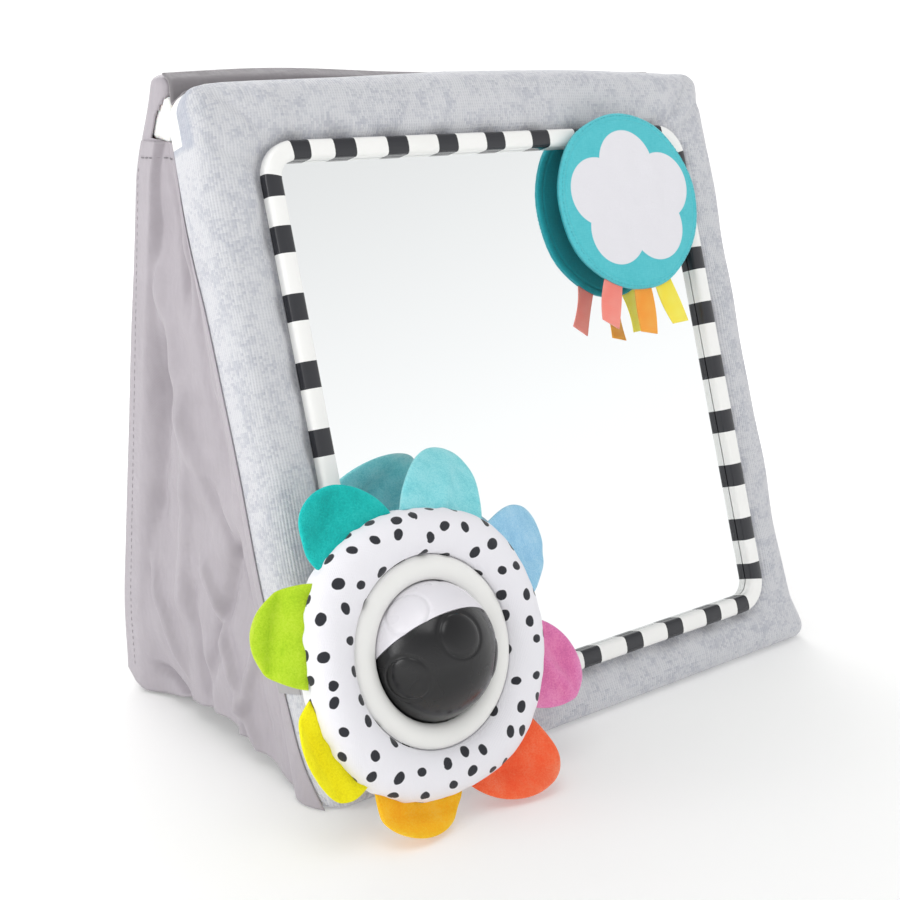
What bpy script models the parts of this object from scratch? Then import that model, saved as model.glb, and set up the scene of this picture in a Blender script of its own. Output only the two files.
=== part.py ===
"""Tummy time floor mirror: two padded fabric panels hinged along the top stand as an A-frame.
A striped frame holds an acrylic mirror in the front panel. A soft flower with a ball that spins
leans on the lower left corner, and a round crinkle page hangs from the top border.

Metres, +Z up, X along the panels, Y to the back. The origin is the middle of the front foot.
"""

import math

import bmesh
import bpy
from mathutils import Matrix, Vector

MM = 0.001

# Panels
PANEL_WIDTH = 287 * MM
FRONT_HEIGHT = 289 * MM
FRONT_THICKNESS = 24 * MM
FRONT_LEAN = math.radians(17)
BACK_THICKNESS = 13 * MM
BACK_LEAN = math.radians(9.9)
BACK_RISE = 2.3 * MM
BACK_BOW = 5 * MM
FOOT_SETBACK = 7.5 * MM
SIDE_RADIUS = 4.5 * MM
FRONT_SILL = 22 * MM
FRONT_SILL_RADIUS = 25 * MM
FRONT_TOE = 5.5 * MM
FRONT_TOE_RADIUS = 4 * MM
FRONT_HEEL_RADIUS = 16 * MM
FRONT_CREST_RADIUS = 8 * MM
FRONT_BROW_RADIUS = 5 * MM
BACK_TOE_RADIUS = 2.5 * MM
BACK_HEEL_RADIUS = 6 * MM
BACK_TOP_RADIUS = 4 * MM
CLOTH = 1.2 * MM
GAP = 0.3 * MM
OVERRUN = 3 * MM

# Fold
HINGE_BEHIND = 0.8 * MM
HINGE_ABOVE = 1.5 * MM
HINGE_CLEAR = 0.6 * MM
TAPE = 0.8 * MM
TAPE_MARGIN = 9 * MM
TAPE_ON_TOP = 9 * MM
TAPE_ON_BACK = 3.6 * MM

# Boards and linings inside the panels
BOARD = 2 * MM
BOARD_SIDE_MARGIN = 14 * MM
BOARD_TOP_MARGIN = 15 * MM
BOARD_FOOT_MARGIN = 26 * MM
BOARD_CORNER = 6 * MM
BOARD_CLEAR = 0.1 * MM
LINING_MARGIN = 12 * MM
SLOT_LENGTH = 15 * MM
SLOT_TOP_MARGIN = 6 * MM
SLOT_REAR_MARGIN = 2.4 * MM
SLOT_WIDTH = 7 * MM

# Mirror and its frame
SIDE_BORDER = 23.5 * MM
TOP_BORDER = 27.5 * MM
SILL_BORDER = 1.5 * MM
FRAME_CORNER = 16 * MM
FRAME_FACE = 8 * MM
FRAME_PROUD = 5 * MM
FRAME_EDGE = 1.8 * MM
SKIRT_SET_IN = 4 * MM
SKIRT_WALL = 3 * MM
SKIRT_DEPTH = 6 * MM
MIRROR = 2 * MM
BACKER = 3 * MM
WINDOW_CLEAR = 0.4 * MM

# Gussets between the panels
GUSSET = 0.8 * MM
GUSSET_SET_IN = 5 * MM
GUSSET_EDGE_GAP = 0.8 * MM
GUSSET_TOP_DROP = 19.3 * MM
GUSSET_HEM = 2.2 * MM
GUSSET_HEM_RISE = 2 * MM
GUSSET_CREASE = 6 * MM
GUSSET_BELLY = 2.5 * MM
GUSSET_RIPPLE = 0.8 * MM
GUSSET_FULL_SPAN = 36 * MM
GUSSET_ROWS = 18
GUSSET_COLUMNS = 12
GUSSET_CROWDING = 1.5
CREASE_PLACE_SHARE = 0.2
CREASE_WIDTH_SHARE = 0.125
CREASE_FADE_SHARE = 0.1
RIPPLES_ACROSS = 3
RIPPLES_UP = 2

# Flower
RING_OVERHANG = 19 * MM
FLOWER_UP = 57.5 * MM
FLOWER_STAND_OFF = 4.6 * MM
RING_BAND = 19.3 * MM
RING_HALF = 10 * MM
RING_SHOULDER = 8 * MM
RING_FALL = 0.6 * MM
RING_FULLNESS = 0.8
EYE_CLEAR = 0.4 * MM
BALL_RADIUS = 27.2 * MM
BALL_WALL = 2 * MM
BALL_ROLL = math.radians(54.6)
BEZEL_LIP = 0.2 * MM
BEZEL_MOUTH_FLARE = 0.6 * MM
BEZEL_FLANGE = 5.9 * MM
BEZEL_FACE = 6.6 * MM
BEZEL_PLATE = 2.2 * MM
BEZEL_DOME = 1.4 * MM
COLLAR_WALL = 2 * MM
COLLAR_CLEAR = 1.4 * MM
AXLE_RADIUS = 1.5 * MM
AXLE_CLEAR = 0.4 * MM
BEAD_RADIUS = 3 * MM
BEADS = 3
BEAD_GAP = 0.1 * MM
PETAL_ROOT_GAP = 0.5 * MM
PETAL_THICKNESS = 3.4 * MM
PETAL_ROWS = 9
PETAL_SIDES = 12
PETAL_ROUNDNESS = 2.4
PETAL_CURL = 1.5
PETAL_TIP_SHARE = 0.12
PETAL_EDGE_SHARE = 0.35
PETAL_SWELL_SHARES = (0.12, 0.92)
PETAL_TURN = math.radians(45)
PETAL_FIRST = math.radians(160.3)
STRAP = 1.2 * MM
STRAP_WIDTH = 16 * MM
STRAP_ON_SIDE = 16 * MM
STRAP_ON_RING = 9 * MM

# Name, colour, swing from its even place, length past the ring, width, how far the tip
# stands in front of the root, and how far it leans along the ring
PETALS = (
    ("lime", "AEDB2E", math.radians(0), 14.7 * MM, 38.3 * MM, -10.1 * MM, 0.7 * MM),
    ("teal_green", "1FB5A5", math.radians(0.2), 18.2 * MM, 38.3 * MM, -7.6 * MM, 0.4 * MM),
    ("turquoise", "6CC8CB", math.radians(-1.8), 27 * MM, 39.5 * MM, -19 * MM, -10.8 * MM),
    ("blue", "7BBCE6", math.radians(2.2), 31 * MM, 36.5 * MM, -17 * MM, -4 * MM),
    ("pink", "C55AA0", math.radians(0.8), 22.5 * MM, 35.6 * MM, 1.5 * MM, -4.1 * MM),
    ("red", "FF5A33", math.radians(4.1), 20 * MM, 39 * MM, 8 * MM, 7 * MM),
    ("orange", "FFA90F", math.radians(2.5), 12.3 * MM, 40.9 * MM, 6.3 * MM, -2.3 * MM),
    ("yellow", "E6DB00", math.radians(1.4), 11 * MM, 40.3 * MM, 2.2 * MM, 5 * MM),
)

# Crinkle page
PAGE_SET_IN = 74.8 * MM
PAGE_DROP = 64.2 * MM
PAGE_OFFSET = 10.8 * MM
PAGE_YAW = math.radians(4.8)
PAGE_RADIUS = 41 * MM
PAGE_CLOTH = 1 * MM
PAGE_FILM = 0.4 * MM
PAGE_CROWN = 0.6 * MM
PAGE_SHOULDER_SHARE = 0.8
PAGE_SEAM = 3 * MM
PAGE_SEAM_FALL = 0.25 * MM
TAB = 1.2 * MM
TAB_WIDTH = 18 * MM
TAB_LEAF = 10 * MM
TAB_AXIS_DROP = 26.4 * MM
TAB_AXIS_OFFSET = 4.5 * MM
TAB_TO_PAGE = 0.5 * MM
RIBBON = 0.7 * MM

# Name, colour, place on the page's lower edge, width, length and lean of each ribbon
RIBBONS = (
    ("pink", "FF8A80", -18.5 * MM, 10.5 * MM, 18 * MM, math.radians(-21)),
    ("orange", "FF9A2E", -1.3 * MM, 9.5 * MM, 19 * MM, math.radians(-1)),
    ("yellow", "FFE85C", 11.7 * MM, 9.5 * MM, 19 * MM, math.radians(15)),
)
RIBBON_CUT = 2.2 * MM

# Facets
ARC_STEPS = 5
BOW_STEPS = 8
SIDE_STEPS = 3
RING_STEPS = 40
RING_ARC_STEPS = 7
FILLING_ARC_STEPS = 6
BEZEL_STEPS = 6
BALL_STEPS = 28
BALL_ARC_STEPS = 9
BORE_SIDES = 12
STRAP_STEPS = 6
WELD = 0.001 * MM

# Sizes that follow from those above
HALF_WIDTH = PANEL_WIDTH / 2
FRAME_WIDTH = PANEL_WIDTH - 2 * SIDE_BORDER
FRAME_FOOT = FRONT_SILL + SILL_BORDER
FRAME_HEIGHT = FRONT_HEIGHT - TOP_BORDER - FRAME_FOOT
FRAME_CENTRE = FRAME_FOOT + FRAME_HEIGHT / 2
COLLAR_RADIUS = BALL_RADIUS + COLLAR_CLEAR + COLLAR_WALL
BEZEL_MOUTH = BALL_RADIUS - BEZEL_LIP
BEZEL_RADIUS = COLLAR_RADIUS + BEZEL_FLANGE
RING_EYE = COLLAR_RADIUS + EYE_CLEAR
RING_RADIUS = BEZEL_RADIUS + RING_BAND
FLOWER_X = RING_RADIUS - RING_OVERHANG - HALF_WIDTH
FLOWER_OFFSET = BALL_RADIUS + FLOWER_STAND_OFF
PAGE_INNER = PAGE_FILM / 2 + GAP
PAGE_HALF = PAGE_INNER + PAGE_CLOTH + PAGE_CROWN
TAB_REACH = PAGE_OFFSET - PAGE_HALF - TAB_TO_PAGE - TAB_AXIS_OFFSET


def lean_frame(place, lean):
    """World placement of a panel's own frame: x across, y up its slope, z out of its front."""
    return Matrix.Translation(place) @ Matrix.Rotation(math.pi / 2 - lean, 4, "X")


def shifted(frame, x, y, z):
    return frame @ Matrix.Translation((x, y, z))


FRONT = lean_frame((0, -FOOT_SETBACK, 0), FRONT_LEAN)
REAR_TOP = FRONT @ Vector((0, FRONT_HEIGHT, -FRONT_THICKNESS))
HINGE = REAR_TOP + Vector((0, HINGE_BEHIND, HINGE_ABOVE))
BACK = lean_frame(HINGE, -BACK_LEAN)
FLOWER = shifted(FRONT, FLOWER_X, FLOWER_UP, FLOWER_OFFSET)
PAGE_CORNER = shifted(FRONT, HALF_WIDTH - PAGE_SET_IN, FRONT_HEIGHT, 0)
PAGE = shifted(PAGE_CORNER, 0, -PAGE_DROP, PAGE_OFFSET) @ Matrix.Rotation(-PAGE_YAW, 4, "Y")
PAGE_AXIS = shifted(PAGE_CORNER, 0, -TAB_AXIS_DROP, TAB_AXIS_OFFSET)
STRAP_AXIS = shifted(FRONT, -HALF_WIDTH - GAP - STRAP / 2, FLOWER_UP, 0)


def linear(code):
    """An sRGB hex code as the linear colour that a shader takes."""
    channels = [int(code[i : i + 2], 16) / 255 for i in (0, 2, 4)]
    return [c / 12.92 if c <= 0.04045 else ((c + 0.055) / 1.055) ** 2.4 for c in channels] + [1]


def finish(name, code, roughness, metallic=0.0):
    material = bpy.data.materials.new(name)
    material.use_nodes = True
    shader = material.node_tree.nodes["Principled BSDF"]
    shader.inputs["Base Color"].default_value = linear(code)
    shader.inputs["Roughness"].default_value = roughness
    shader.inputs["Metallic"].default_value = metallic
    material.diffuse_color = linear(code)
    return material


def carrier(name, place):
    empty = bpy.data.objects.new(name, None)
    empty.matrix_world = Matrix.Translation(place)
    bpy.context.scene.collection.objects.link(empty)
    return empty


def place(name, bm, frame, on, material=None, sharp=math.radians(32)):
    """Makes bm, modelled in frame, an object whose origin is its carrier's place."""
    bmesh.ops.recalc_face_normals(bm, faces=bm.faces)
    bm.transform(Matrix.Translation(-on.location) @ frame)
    mesh = bpy.data.meshes.new(name)
    bm.to_mesh(mesh)
    bm.free()
    mesh.shade_smooth()
    mesh.set_sharp_from_angle(angle=sharp)
    obj = bpy.data.objects.new(name, mesh)
    obj.parent = on
    bpy.context.scene.collection.objects.link(obj)
    if material:
        mesh.materials.append(material)
    return obj


def boolean(obj, other, operation="DIFFERENCE"):
    other.hide_render = True
    other.display_type = "WIRE"
    modifier = obj.modifiers.new(f"{operation.lower()} {other.name}", "BOOLEAN")
    modifier.operation = operation
    modifier.solver = "EXACT"
    modifier.object = other


def skin(rings, closed=False, strip_caps=False):
    """Quads between rings of equal counts, closed into a loop of rings or capped at both ends."""
    bm = bmesh.new()
    rows = [[bm.verts.new(point) for point in ring] for ring in rings]
    count = len(rows[0])
    pairs = list(zip(rows, rows[1:]))
    if closed:
        pairs.append((rows[-1], rows[0]))
    for first, second in pairs:
        for i in range(count):
            j = (i + 1) % count
            bm.faces.new((first[i], first[j], second[j], second[i]))
    if closed:
        return bm
    for row in (rows[0], rows[-1]):
        if not strip_caps:
            bm.faces.new(row)
            continue
        for i in range(count // 2):
            quad = (row[i], row[i + 1], row[(count - i - 1) % count], row[(count - i) % count])
            bm.faces.new(tuple(dict.fromkeys(quad)))
    return bm


def prism(outline, low, high):
    """A flat outline extruded from low to high along z."""
    bm = bmesh.new()
    face = bm.faces.new([bm.verts.new((x, y, low)) for x, y in outline])
    top = bmesh.ops.extrude_face_region(bm, geom=[face])["geom"]
    moved = [v for v in top if isinstance(v, bmesh.types.BMVert)]
    bmesh.ops.translate(bm, verts=moved, vec=(0, 0, high - low))
    return bm


def block(low, high):
    outline = ((low[0], low[1]), (high[0], low[1]), (high[0], high[1]), (low[0], high[1]))
    return prism(outline, low[2], high[2])


def turned(profile, steps):
    """A closed profile of (radius, height) points spun round z."""
    bm = bmesh.new()
    verts = [bm.verts.new((r, 0, z)) for r, z in profile]
    edges = [bm.edges.new(pair) for pair in zip(verts, verts[1:] + verts[:1])]
    bmesh.ops.spin(
        bm,
        geom=verts + edges,
        axis=(0, 0, 1),
        cent=(0, 0, 0),
        angle=math.tau,
        steps=steps,
        use_merge=True,
    )
    bmesh.ops.remove_doubles(bm, verts=bm.verts, dist=WELD)
    bmesh.ops.dissolve_degenerate(bm, edges=bm.edges, dist=WELD)
    return bm


def arc(centre, radius, start, end, steps):
    """Points on a circle from one angle to another, ends included."""
    angles = [start + (end - start) * i / steps for i in range(steps + 1)]
    return [(centre[0] + radius * math.cos(a), centre[1] + radius * math.sin(a)) for a in angles]


def rectangle(half_x, half_y, radius, centre_y=0.0):
    """A rectangle with round corners, anticlockwise, as (x, y) points."""
    points = []
    for turn, (side_x, side_y) in enumerate(((1, 1), (-1, 1), (-1, -1), (1, -1))):
        centre = (side_x * (half_x - radius), centre_y + side_y * (half_y - radius))
        start = turn * math.pi / 2
        points += arc(centre, radius, start, start + math.pi / 2, ARC_STEPS)
    return points


def moved_in(corners, inset):
    """The polygon's corners after every side moves in by inset."""
    count = len(corners)
    sides = []
    for i in range(count):
        along = (corners[(i + 1) % count] - corners[i]).normalized()
        sides.append((corners[i] + inset * Vector((-along.y, along.x)), along))
    result = []
    for i in range(count):
        (point, along), (other, way) = sides[i - 1], sides[i]
        across = along.x * way.y - along.y * way.x
        offset = other - point
        result.append(point + along * ((offset.x * way.y - offset.y * way.x) / across))
    return result


def rounded(corners, radii, bows, inset):
    """A polygon of (y, z) corners, anticlockwise, each rounded; side i bows out by bows[i].

    A corner that points inwards is rounded too, and its radius grows where the others' shrink.
    """
    spots = moved_in([Vector(corner) for corner in corners], inset)
    count = len(spots)
    arcs = []
    for i in range(count):
        before = (spots[i - 1] - spots[i]).normalized()
        after = (spots[(i + 1) % count] - spots[i]).normalized()
        half = math.acos(before.dot(after)) / 2
        outward = 1 if after.x * before.y > after.y * before.x else -1
        radius = max(radii[i] - outward * inset, GAP)
        centre = spots[i] + (before + after).normalized() * (radius / math.sin(half))
        start = spots[i] + before * (radius / math.tan(half)) - centre
        step = outward * (math.pi - 2 * half) / ARC_STEPS
        arcs.append([centre + Matrix.Rotation(step * k, 2) @ start for k in range(ARC_STEPS + 1)])
    points = []
    for i in range(count):
        points += arcs[i]
        start, end = arcs[i][-1], arcs[(i + 1) % count][0]
        along = end - start
        out = Vector((along.y, -along.x)).normalized()
        for k in range(1, BOW_STEPS if bows[i] else 1):
            share = k / BOW_STEPS
            points.append(start + along * share + out * (4 * bows[i] * share * (1 - share)))
    return points


def slab(corners, radii, bows, inset):
    """A panel's closed body: the rounded section carried across X, with its two ends rounded."""
    half = PANEL_WIDTH / 2 - inset
    radius = max(SIDE_RADIUS - inset, GAP)
    right = []
    for k in range(SIDE_STEPS + 1):
        angle = math.pi / 2 * k / SIDE_STEPS
        x = half - radius + radius * math.cos(angle)
        right.append((x, inset + radius - radius * math.sin(angle)))
    stations = right + [(-x, depth) for x, depth in reversed(right)]
    return skin([[(x, y, z) for y, z in rounded(corners, radii, bows, depth)] for x, depth in stations])


def front_corner(up, out):
    point = FRONT @ Vector((0, up, out))
    return (point.y, point.z)


FRONT_CORNERS = (
    (-FOOT_SETBACK - FRONT_TOE, 0),
    (-FOOT_SETBACK + FRONT_THICKNESS / math.cos(FRONT_LEAN), 0),
    front_corner(FRONT_HEIGHT, -FRONT_THICKNESS),
    front_corner(FRONT_HEIGHT, 0),
    front_corner(FRONT_SILL, 0),
)
FRONT_RADII = (
    FRONT_TOE_RADIUS,
    FRONT_HEEL_RADIUS,
    FRONT_CREST_RADIUS,
    FRONT_BROW_RADIUS,
    FRONT_SILL_RADIUS,
)
FRONT_BOWS = (0,) * len(FRONT_CORNERS)


def back_floor(out):
    """Where a line down the back panel, out behind its hinge, meets the floor."""
    top = BACK @ Vector((0, 0, -out))
    return (top.y + top.z * math.tan(BACK_LEAN), 0)


def back_corner(up, out):
    point = BACK @ Vector((0, up, -out))
    return (point.y, point.z)


BACK_OUTER = HINGE_CLEAR + BACK_THICKNESS
BACK_CORNERS = (
    back_floor(HINGE_CLEAR),
    back_floor(BACK_OUTER),
    back_corner(BACK_RISE, BACK_OUTER),
    back_corner(BACK_RISE, HINGE_CLEAR),
)
BACK_RADII = (BACK_TOE_RADIUS, BACK_HEEL_RADIUS, BACK_TOP_RADIUS, BACK_TOE_RADIUS)
BACK_BOWS = (0, BACK_BOW, 0, 0)
BACK_LENGTH = HINGE.z / math.cos(BACK_LEAN)
GUSSET_TOP = REAR_TOP.z - GUSSET_TOP_DROP
WORLD = Matrix.Identity(4)


def front_panel(on, knit, woven, foam, board):
    """The knit cover, its woven lining, the foam pad and the stiffening board of the front panel."""
    section = (FRONT_CORNERS, FRONT_RADII, FRONT_BOWS)
    window_x = FRAME_WIDTH / 2 - SKIRT_SET_IN + WINDOW_CLEAR
    window_y = FRAME_HEIGHT / 2 - SKIRT_SET_IN + WINDOW_CLEAR
    window = rectangle(window_x, window_y, FRAME_CORNER - SKIRT_SET_IN, FRAME_CENTRE)
    inner = CLOTH + GAP

    cover = place("front_cover", slab(*section, 0), WORLD, on, knit)
    boolean(cover, place("front_cover_hollow", slab(*section, CLOTH), WORLD, on))
    hole = place("front_cover_window", prism(window, -CLOTH - OVERRUN, OVERRUN), FRONT, on)
    boolean(cover, hole)
    middle = (BOARD_FOOT_MARGIN + FRONT_HEIGHT - LINING_MARGIN) / 2
    rear_x = HALF_WIDTH - LINING_MARGIN
    rear_y = FRONT_HEIGHT - LINING_MARGIN - middle
    opening = rectangle(rear_x, rear_y, BOARD_CORNER, middle)
    rear_face = -FRONT_THICKNESS
    lining_low = rear_face - OVERRUN
    rear = prism(opening, lining_low, rear_face + inner)
    boolean(cover, place("front_cover_rear", rear, FRONT, on))
    slot_top = FRONT_HEIGHT - SLOT_TOP_MARGIN
    slot_rear = rear_face + SLOT_REAR_MARGIN
    for side, label in ((-1, "left"), (1, "right")):
        low = (side * HALF_WIDTH - OVERRUN, slot_top - SLOT_LENGTH, slot_rear)
        high = (side * HALF_WIDTH + OVERRUN, slot_top, slot_rear + SLOT_WIDTH)
        boolean(cover, place(f"front_slot_{label}", block(low, high), FRONT, on))

    lining = rectangle(rear_x - GAP, rear_y - GAP, BOARD_CORNER - GAP, middle)
    place("front_lining", prism(lining, rear_face, rear_face + CLOTH), FRONT, on, woven)

    pad = place("front_foam", slab(*section, inner), WORLD, on, foam)
    boolean(pad, place("front_foam_pocket", prism(window, -SKIRT_DEPTH - GAP, OVERRUN), FRONT, on))
    board_x = HALF_WIDTH - BOARD_SIDE_MARGIN
    board_middle = (BOARD_FOOT_MARGIN + FRONT_HEIGHT - BOARD_TOP_MARGIN) / 2
    board_y = FRONT_HEIGHT - BOARD_TOP_MARGIN - board_middle
    board_rear = rear_face + inner + BOARD_CLEAR
    recess = rectangle(board_x + GAP, board_y + GAP, BOARD_CORNER + GAP, board_middle)
    boolean(pad, place("front_foam_recess", prism(recess, lining_low, board_rear + BOARD + GAP), FRONT, on))
    sheet = rectangle(board_x, board_y, BOARD_CORNER, board_middle)
    place("front_board", prism(sheet, board_rear, board_rear + BOARD), FRONT, on, board)


def frame_section():
    """The striped frame's section: how far in from its outer edge, and how far out of the cloth."""
    inner = FRAME_FACE
    skirt_in = SKIRT_SET_IN + SKIRT_WALL
    crown = FRAME_PROUD
    edge = FRAME_EDGE
    outer_arc = arc((edge, crown - edge), edge, math.pi, math.pi / 2, SIDE_STEPS)
    inner_arc = arc((inner - edge, crown - edge), edge, math.pi / 2, 0, SIDE_STEPS)
    skirt = [(skirt_in, GAP), (skirt_in, -SKIRT_DEPTH), (SKIRT_SET_IN, -SKIRT_DEPTH), (SKIRT_SET_IN, GAP)]
    return [(0, GAP)] + outer_arc + inner_arc + [(inner, GAP)] + skirt


def mirror_unit(on, plastic, mirror, backing):
    """The frame with its skirt, the acrylic mirror behind its lip, and the tray that backs it."""
    rings = []
    outer = rectangle(FRAME_WIDTH / 2, FRAME_HEIGHT / 2, FRAME_CORNER, FRAME_CENTRE)
    section = frame_section()
    inner = [
        rectangle(FRAME_WIDTH / 2 - depth, FRAME_HEIGHT / 2 - depth, FRAME_CORNER - depth, FRAME_CENTRE)
        for depth, _ in section
    ]
    for i in range(len(outer)):
        rings.append([(*inner[k][i], out) for k, (_, out) in enumerate(section)])
    place("mirror_frame", skin(rings, closed=True), FRONT, on, plastic)
    fit = SKIRT_SET_IN + SKIRT_WALL + GAP
    outline = rectangle(FRAME_WIDTH / 2 - fit, FRAME_HEIGHT / 2 - fit, FRAME_CORNER - fit, FRAME_CENTRE)
    place("mirror_sheet", prism(outline, -MIRROR, 0), FRONT, on, mirror)
    back = -MIRROR - GAP
    place("mirror_backer", prism(outline, back - BACKER, back), FRONT, on, backing)


def back_panel(on, woven, foam, board):
    """The woven sleeve, the foam pad and the stiffening board of the back panel."""
    section = (BACK_CORNERS, BACK_RADII, BACK_BOWS)
    cover = place("back_cover", slab(*section, 0), WORLD, on, woven)
    boolean(cover, place("back_cover_hollow", slab(*section, CLOTH), WORLD, on))
    slot_top = BACK_RISE - SLOT_REAR_MARGIN
    slot_front = -HINGE_CLEAR - SLOT_REAR_MARGIN
    for side, label in ((-1, "left"), (1, "right")):
        low = (side * HALF_WIDTH - OVERRUN, slot_top - SLOT_LENGTH, slot_front - SLOT_WIDTH)
        high = (side * HALF_WIDTH + OVERRUN, slot_top, slot_front)
        boolean(cover, place(f"back_slot_{label}", block(low, high), BACK, on))
    inner = CLOTH + GAP
    pad = place("back_foam", slab(*section, inner), WORLD, on, foam)
    board_x = HALF_WIDTH - BOARD_SIDE_MARGIN
    top = BACK_RISE - BOARD_TOP_MARGIN
    bottom = BOARD_FOOT_MARGIN - BACK_LENGTH
    board_y = (top - bottom) / 2
    face = -HINGE_CLEAR - inner - BOARD_CLEAR
    middle = (top + bottom) / 2
    recess = rectangle(board_x + GAP, board_y + GAP, BOARD_CORNER + GAP, middle)
    boolean(pad, place("back_foam_recess", prism(recess, face - BOARD - GAP, OVERRUN), BACK, on))
    sheet = rectangle(board_x, board_y, BOARD_CORNER, middle)
    place("back_board", prism(sheet, face - BOARD, face), BACK, on, board)


def ribbon_ring(path, thickness):
    """The outline of a thin strip along a path of (y, z) points."""
    left, right = [], []
    for i, point in enumerate(path):
        along = (path[min(i + 1, len(path) - 1)] - path[max(i - 1, 0)]).normalized()
        out = Vector((-along.y, along.x)) * (thickness / 2)
        left.append(point + out)
        right.append(point - out)
    return left + right[::-1]


def hinge_tape(on, woven):
    """The cloth strip sewn to the top of the front panel and to the inner face of the back one."""
    centre = Vector(front_corner(FRONT_HEIGHT - FRONT_CREST_RADIUS, FRONT_CREST_RADIUS - FRONT_THICKNESS))
    reach = FRONT_CREST_RADIUS + GAP + TAPE / 2
    up = Vector((math.sin(FRONT_LEAN), math.cos(FRONT_LEAN)))
    rear = Vector((math.cos(FRONT_LEAN), -math.sin(FRONT_LEAN)))
    path = [centre + up * reach - rear * TAPE_ON_TOP]
    for k in range(ARC_STEPS + 1):
        angle = math.pi / 4 * k / ARC_STEPS
        path.append(centre + (up * math.cos(angle) + rear * math.sin(angle)) * reach)
    stand_off = GAP + TAPE / 2 - HINGE_CLEAR
    for rise in (0, TAPE_ON_BACK):
        path.append(Vector(back_corner(rise, -stand_off)))
    half = HALF_WIDTH - TAPE_MARGIN
    outline = ribbon_ring(path, TAPE)
    place("hinge_tape", skin([[(x, y, z) for y, z in outline] for x in (-half, half)]), WORLD, on, woven)


def panel_rear(z):
    """How far back the front panel's rear face reaches at a height, round its heel too."""
    face = -FOOT_SETBACK + FRONT_THICKNESS / math.cos(FRONT_LEAN) + z * math.tan(FRONT_LEAN)
    radius = FRONT_HEEL_RADIUS
    if z > radius * (1 - math.sin(FRONT_LEAN)):
        return face
    centre = -FOOT_SETBACK + (FRONT_THICKNESS - radius) / math.cos(FRONT_LEAN) + radius * math.tan(FRONT_LEAN)
    return centre + math.sqrt(radius**2 - (radius - z) ** 2)


def gusset(on, woven, side, label):
    """A thin woven side that folds inwards between the panels, with its main folds."""
    bm = bmesh.new()
    grid = []
    for i in range(GUSSET_ROWS + 1):
        rise = (i / GUSSET_ROWS) ** GUSSET_CROWDING
        row = []
        for j in range(GUSSET_COLUMNS + 1):
            share = j / GUSSET_COLUMNS
            hem = GUSSET_HEM + GUSSET_HEM_RISE * math.sin(math.pi * share)
            z = hem + (GUSSET_TOP - hem) * rise
            front_y = panel_rear(z)
            back_y = back_floor(HINGE_CLEAR)[0] - z * math.tan(BACK_LEAN)
            span = back_y - front_y - 2 * GUSSET_EDGE_GAP
            y = front_y + GUSSET_EDGE_GAP + span * share
            room = min(1, span / GUSSET_FULL_SPAN)
            crease = GUSSET_CREASE * math.exp(-(((share - CREASE_PLACE_SHARE) / CREASE_WIDTH_SHARE) ** 2))
            crease *= min(1, share / CREASE_FADE_SHARE)
            edge = math.sin(math.pi * share)
            ripple = math.sin(math.tau * (RIPPLES_ACROSS * share + RIPPLES_UP * rise))
            depth = GUSSET_SET_IN + room * (crease + edge * (GUSSET_BELLY + GUSSET_RIPPLE * ripple))
            row.append(bm.verts.new((side * (HALF_WIDTH - depth), y, z)))
        grid.append(row)
    for low, high in zip(grid, grid[1:]):
        for j in range(GUSSET_COLUMNS):
            bm.faces.new((low[j], low[j + 1], high[j + 1], high[j]))
    sheet = place(f"gusset_{label}", bm, WORLD, on, woven)
    modifier = sheet.modifiers.new("cloth", "SOLIDIFY")
    modifier.thickness = GUSSET
    modifier.offset = 0


def ring_wall(depth):
    """The ring's outer face, sunk by depth, from its seam over the crown to its eye."""
    middle = (RING_RADIUS + BEZEL_RADIUS) / 2
    reach = RING_RADIUS - depth - middle
    height = RING_HALF - depth - GAP / 2
    points = []
    for k in range(RING_ARC_STEPS + 1):
        angle = math.pi / 2 * k / RING_ARC_STEPS
        rise = GAP / 2 + height * math.sin(angle) ** RING_FULLNESS
        points.append((middle + reach * math.cos(angle), rise))
    step = BEZEL_RADIUS + GAP + depth
    under = BEZEL_FACE - BEZEL_PLATE - GAP - depth
    points.append(((middle + step) / 2, RING_HALF - depth - RING_FALL))
    return points + [(step, RING_SHOULDER - GAP - depth), (step, under), (RING_EYE, under)]


def ring_half(side):
    """Profile of one half of the flower ring's cloth, from its outer seam to its eye."""
    return [(r, side * z) for r, z in ring_wall(0) + ring_wall(CLOTH)[::-1]]


def stuffing_profile():
    """The ring of filling between the two cloth halves."""
    mid = (RING_RADIUS + BEZEL_RADIUS) / 2
    depth = CLOTH + GAP
    quarter = arc((0, 0), 1, 0, math.pi / 2, FILLING_ARC_STEPS)
    outer = [(mid + (RING_RADIUS - depth - mid) * x, (RING_HALF - depth) * y) for x, y in quarter]
    step = BEZEL_RADIUS + depth + GAP
    under = BEZEL_FACE - BEZEL_PLATE - GAP - depth
    top = outer + [(step, RING_SHOULDER - GAP - depth), (step, under), (RING_EYE, under)]
    return top + [(r, -z) for r, z in reversed(top) if z]


def bezel_profile(side):
    """A bezel: a domed face ring with a flared mouth, and the collar that the ball runs in."""
    face, plate = BEZEL_FACE, BEZEL_PLATE
    collar_in = BALL_RADIUS + COLLAR_CLEAR
    mid = (BEZEL_MOUTH + BEZEL_RADIUS) / 2
    half = (BEZEL_RADIUS - BEZEL_MOUTH) / 2
    dome = []
    for k in range(BEZEL_STEPS + 1):
        share = 2 * k / BEZEL_STEPS - 1
        dome.append((mid - half * share, face + BEZEL_DOME / 2 - BEZEL_DOME * share * share))
    under = face - plate
    mouth = [(BEZEL_MOUTH + BEZEL_MOUTH_FLARE, under), (collar_in, under), (collar_in, GAP / 2)]
    rest = [(COLLAR_RADIUS, GAP / 2), (COLLAR_RADIUS, under), (BEZEL_RADIUS, under)]
    return [(r, side * z) for r, z in dome + mouth + rest]


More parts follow.
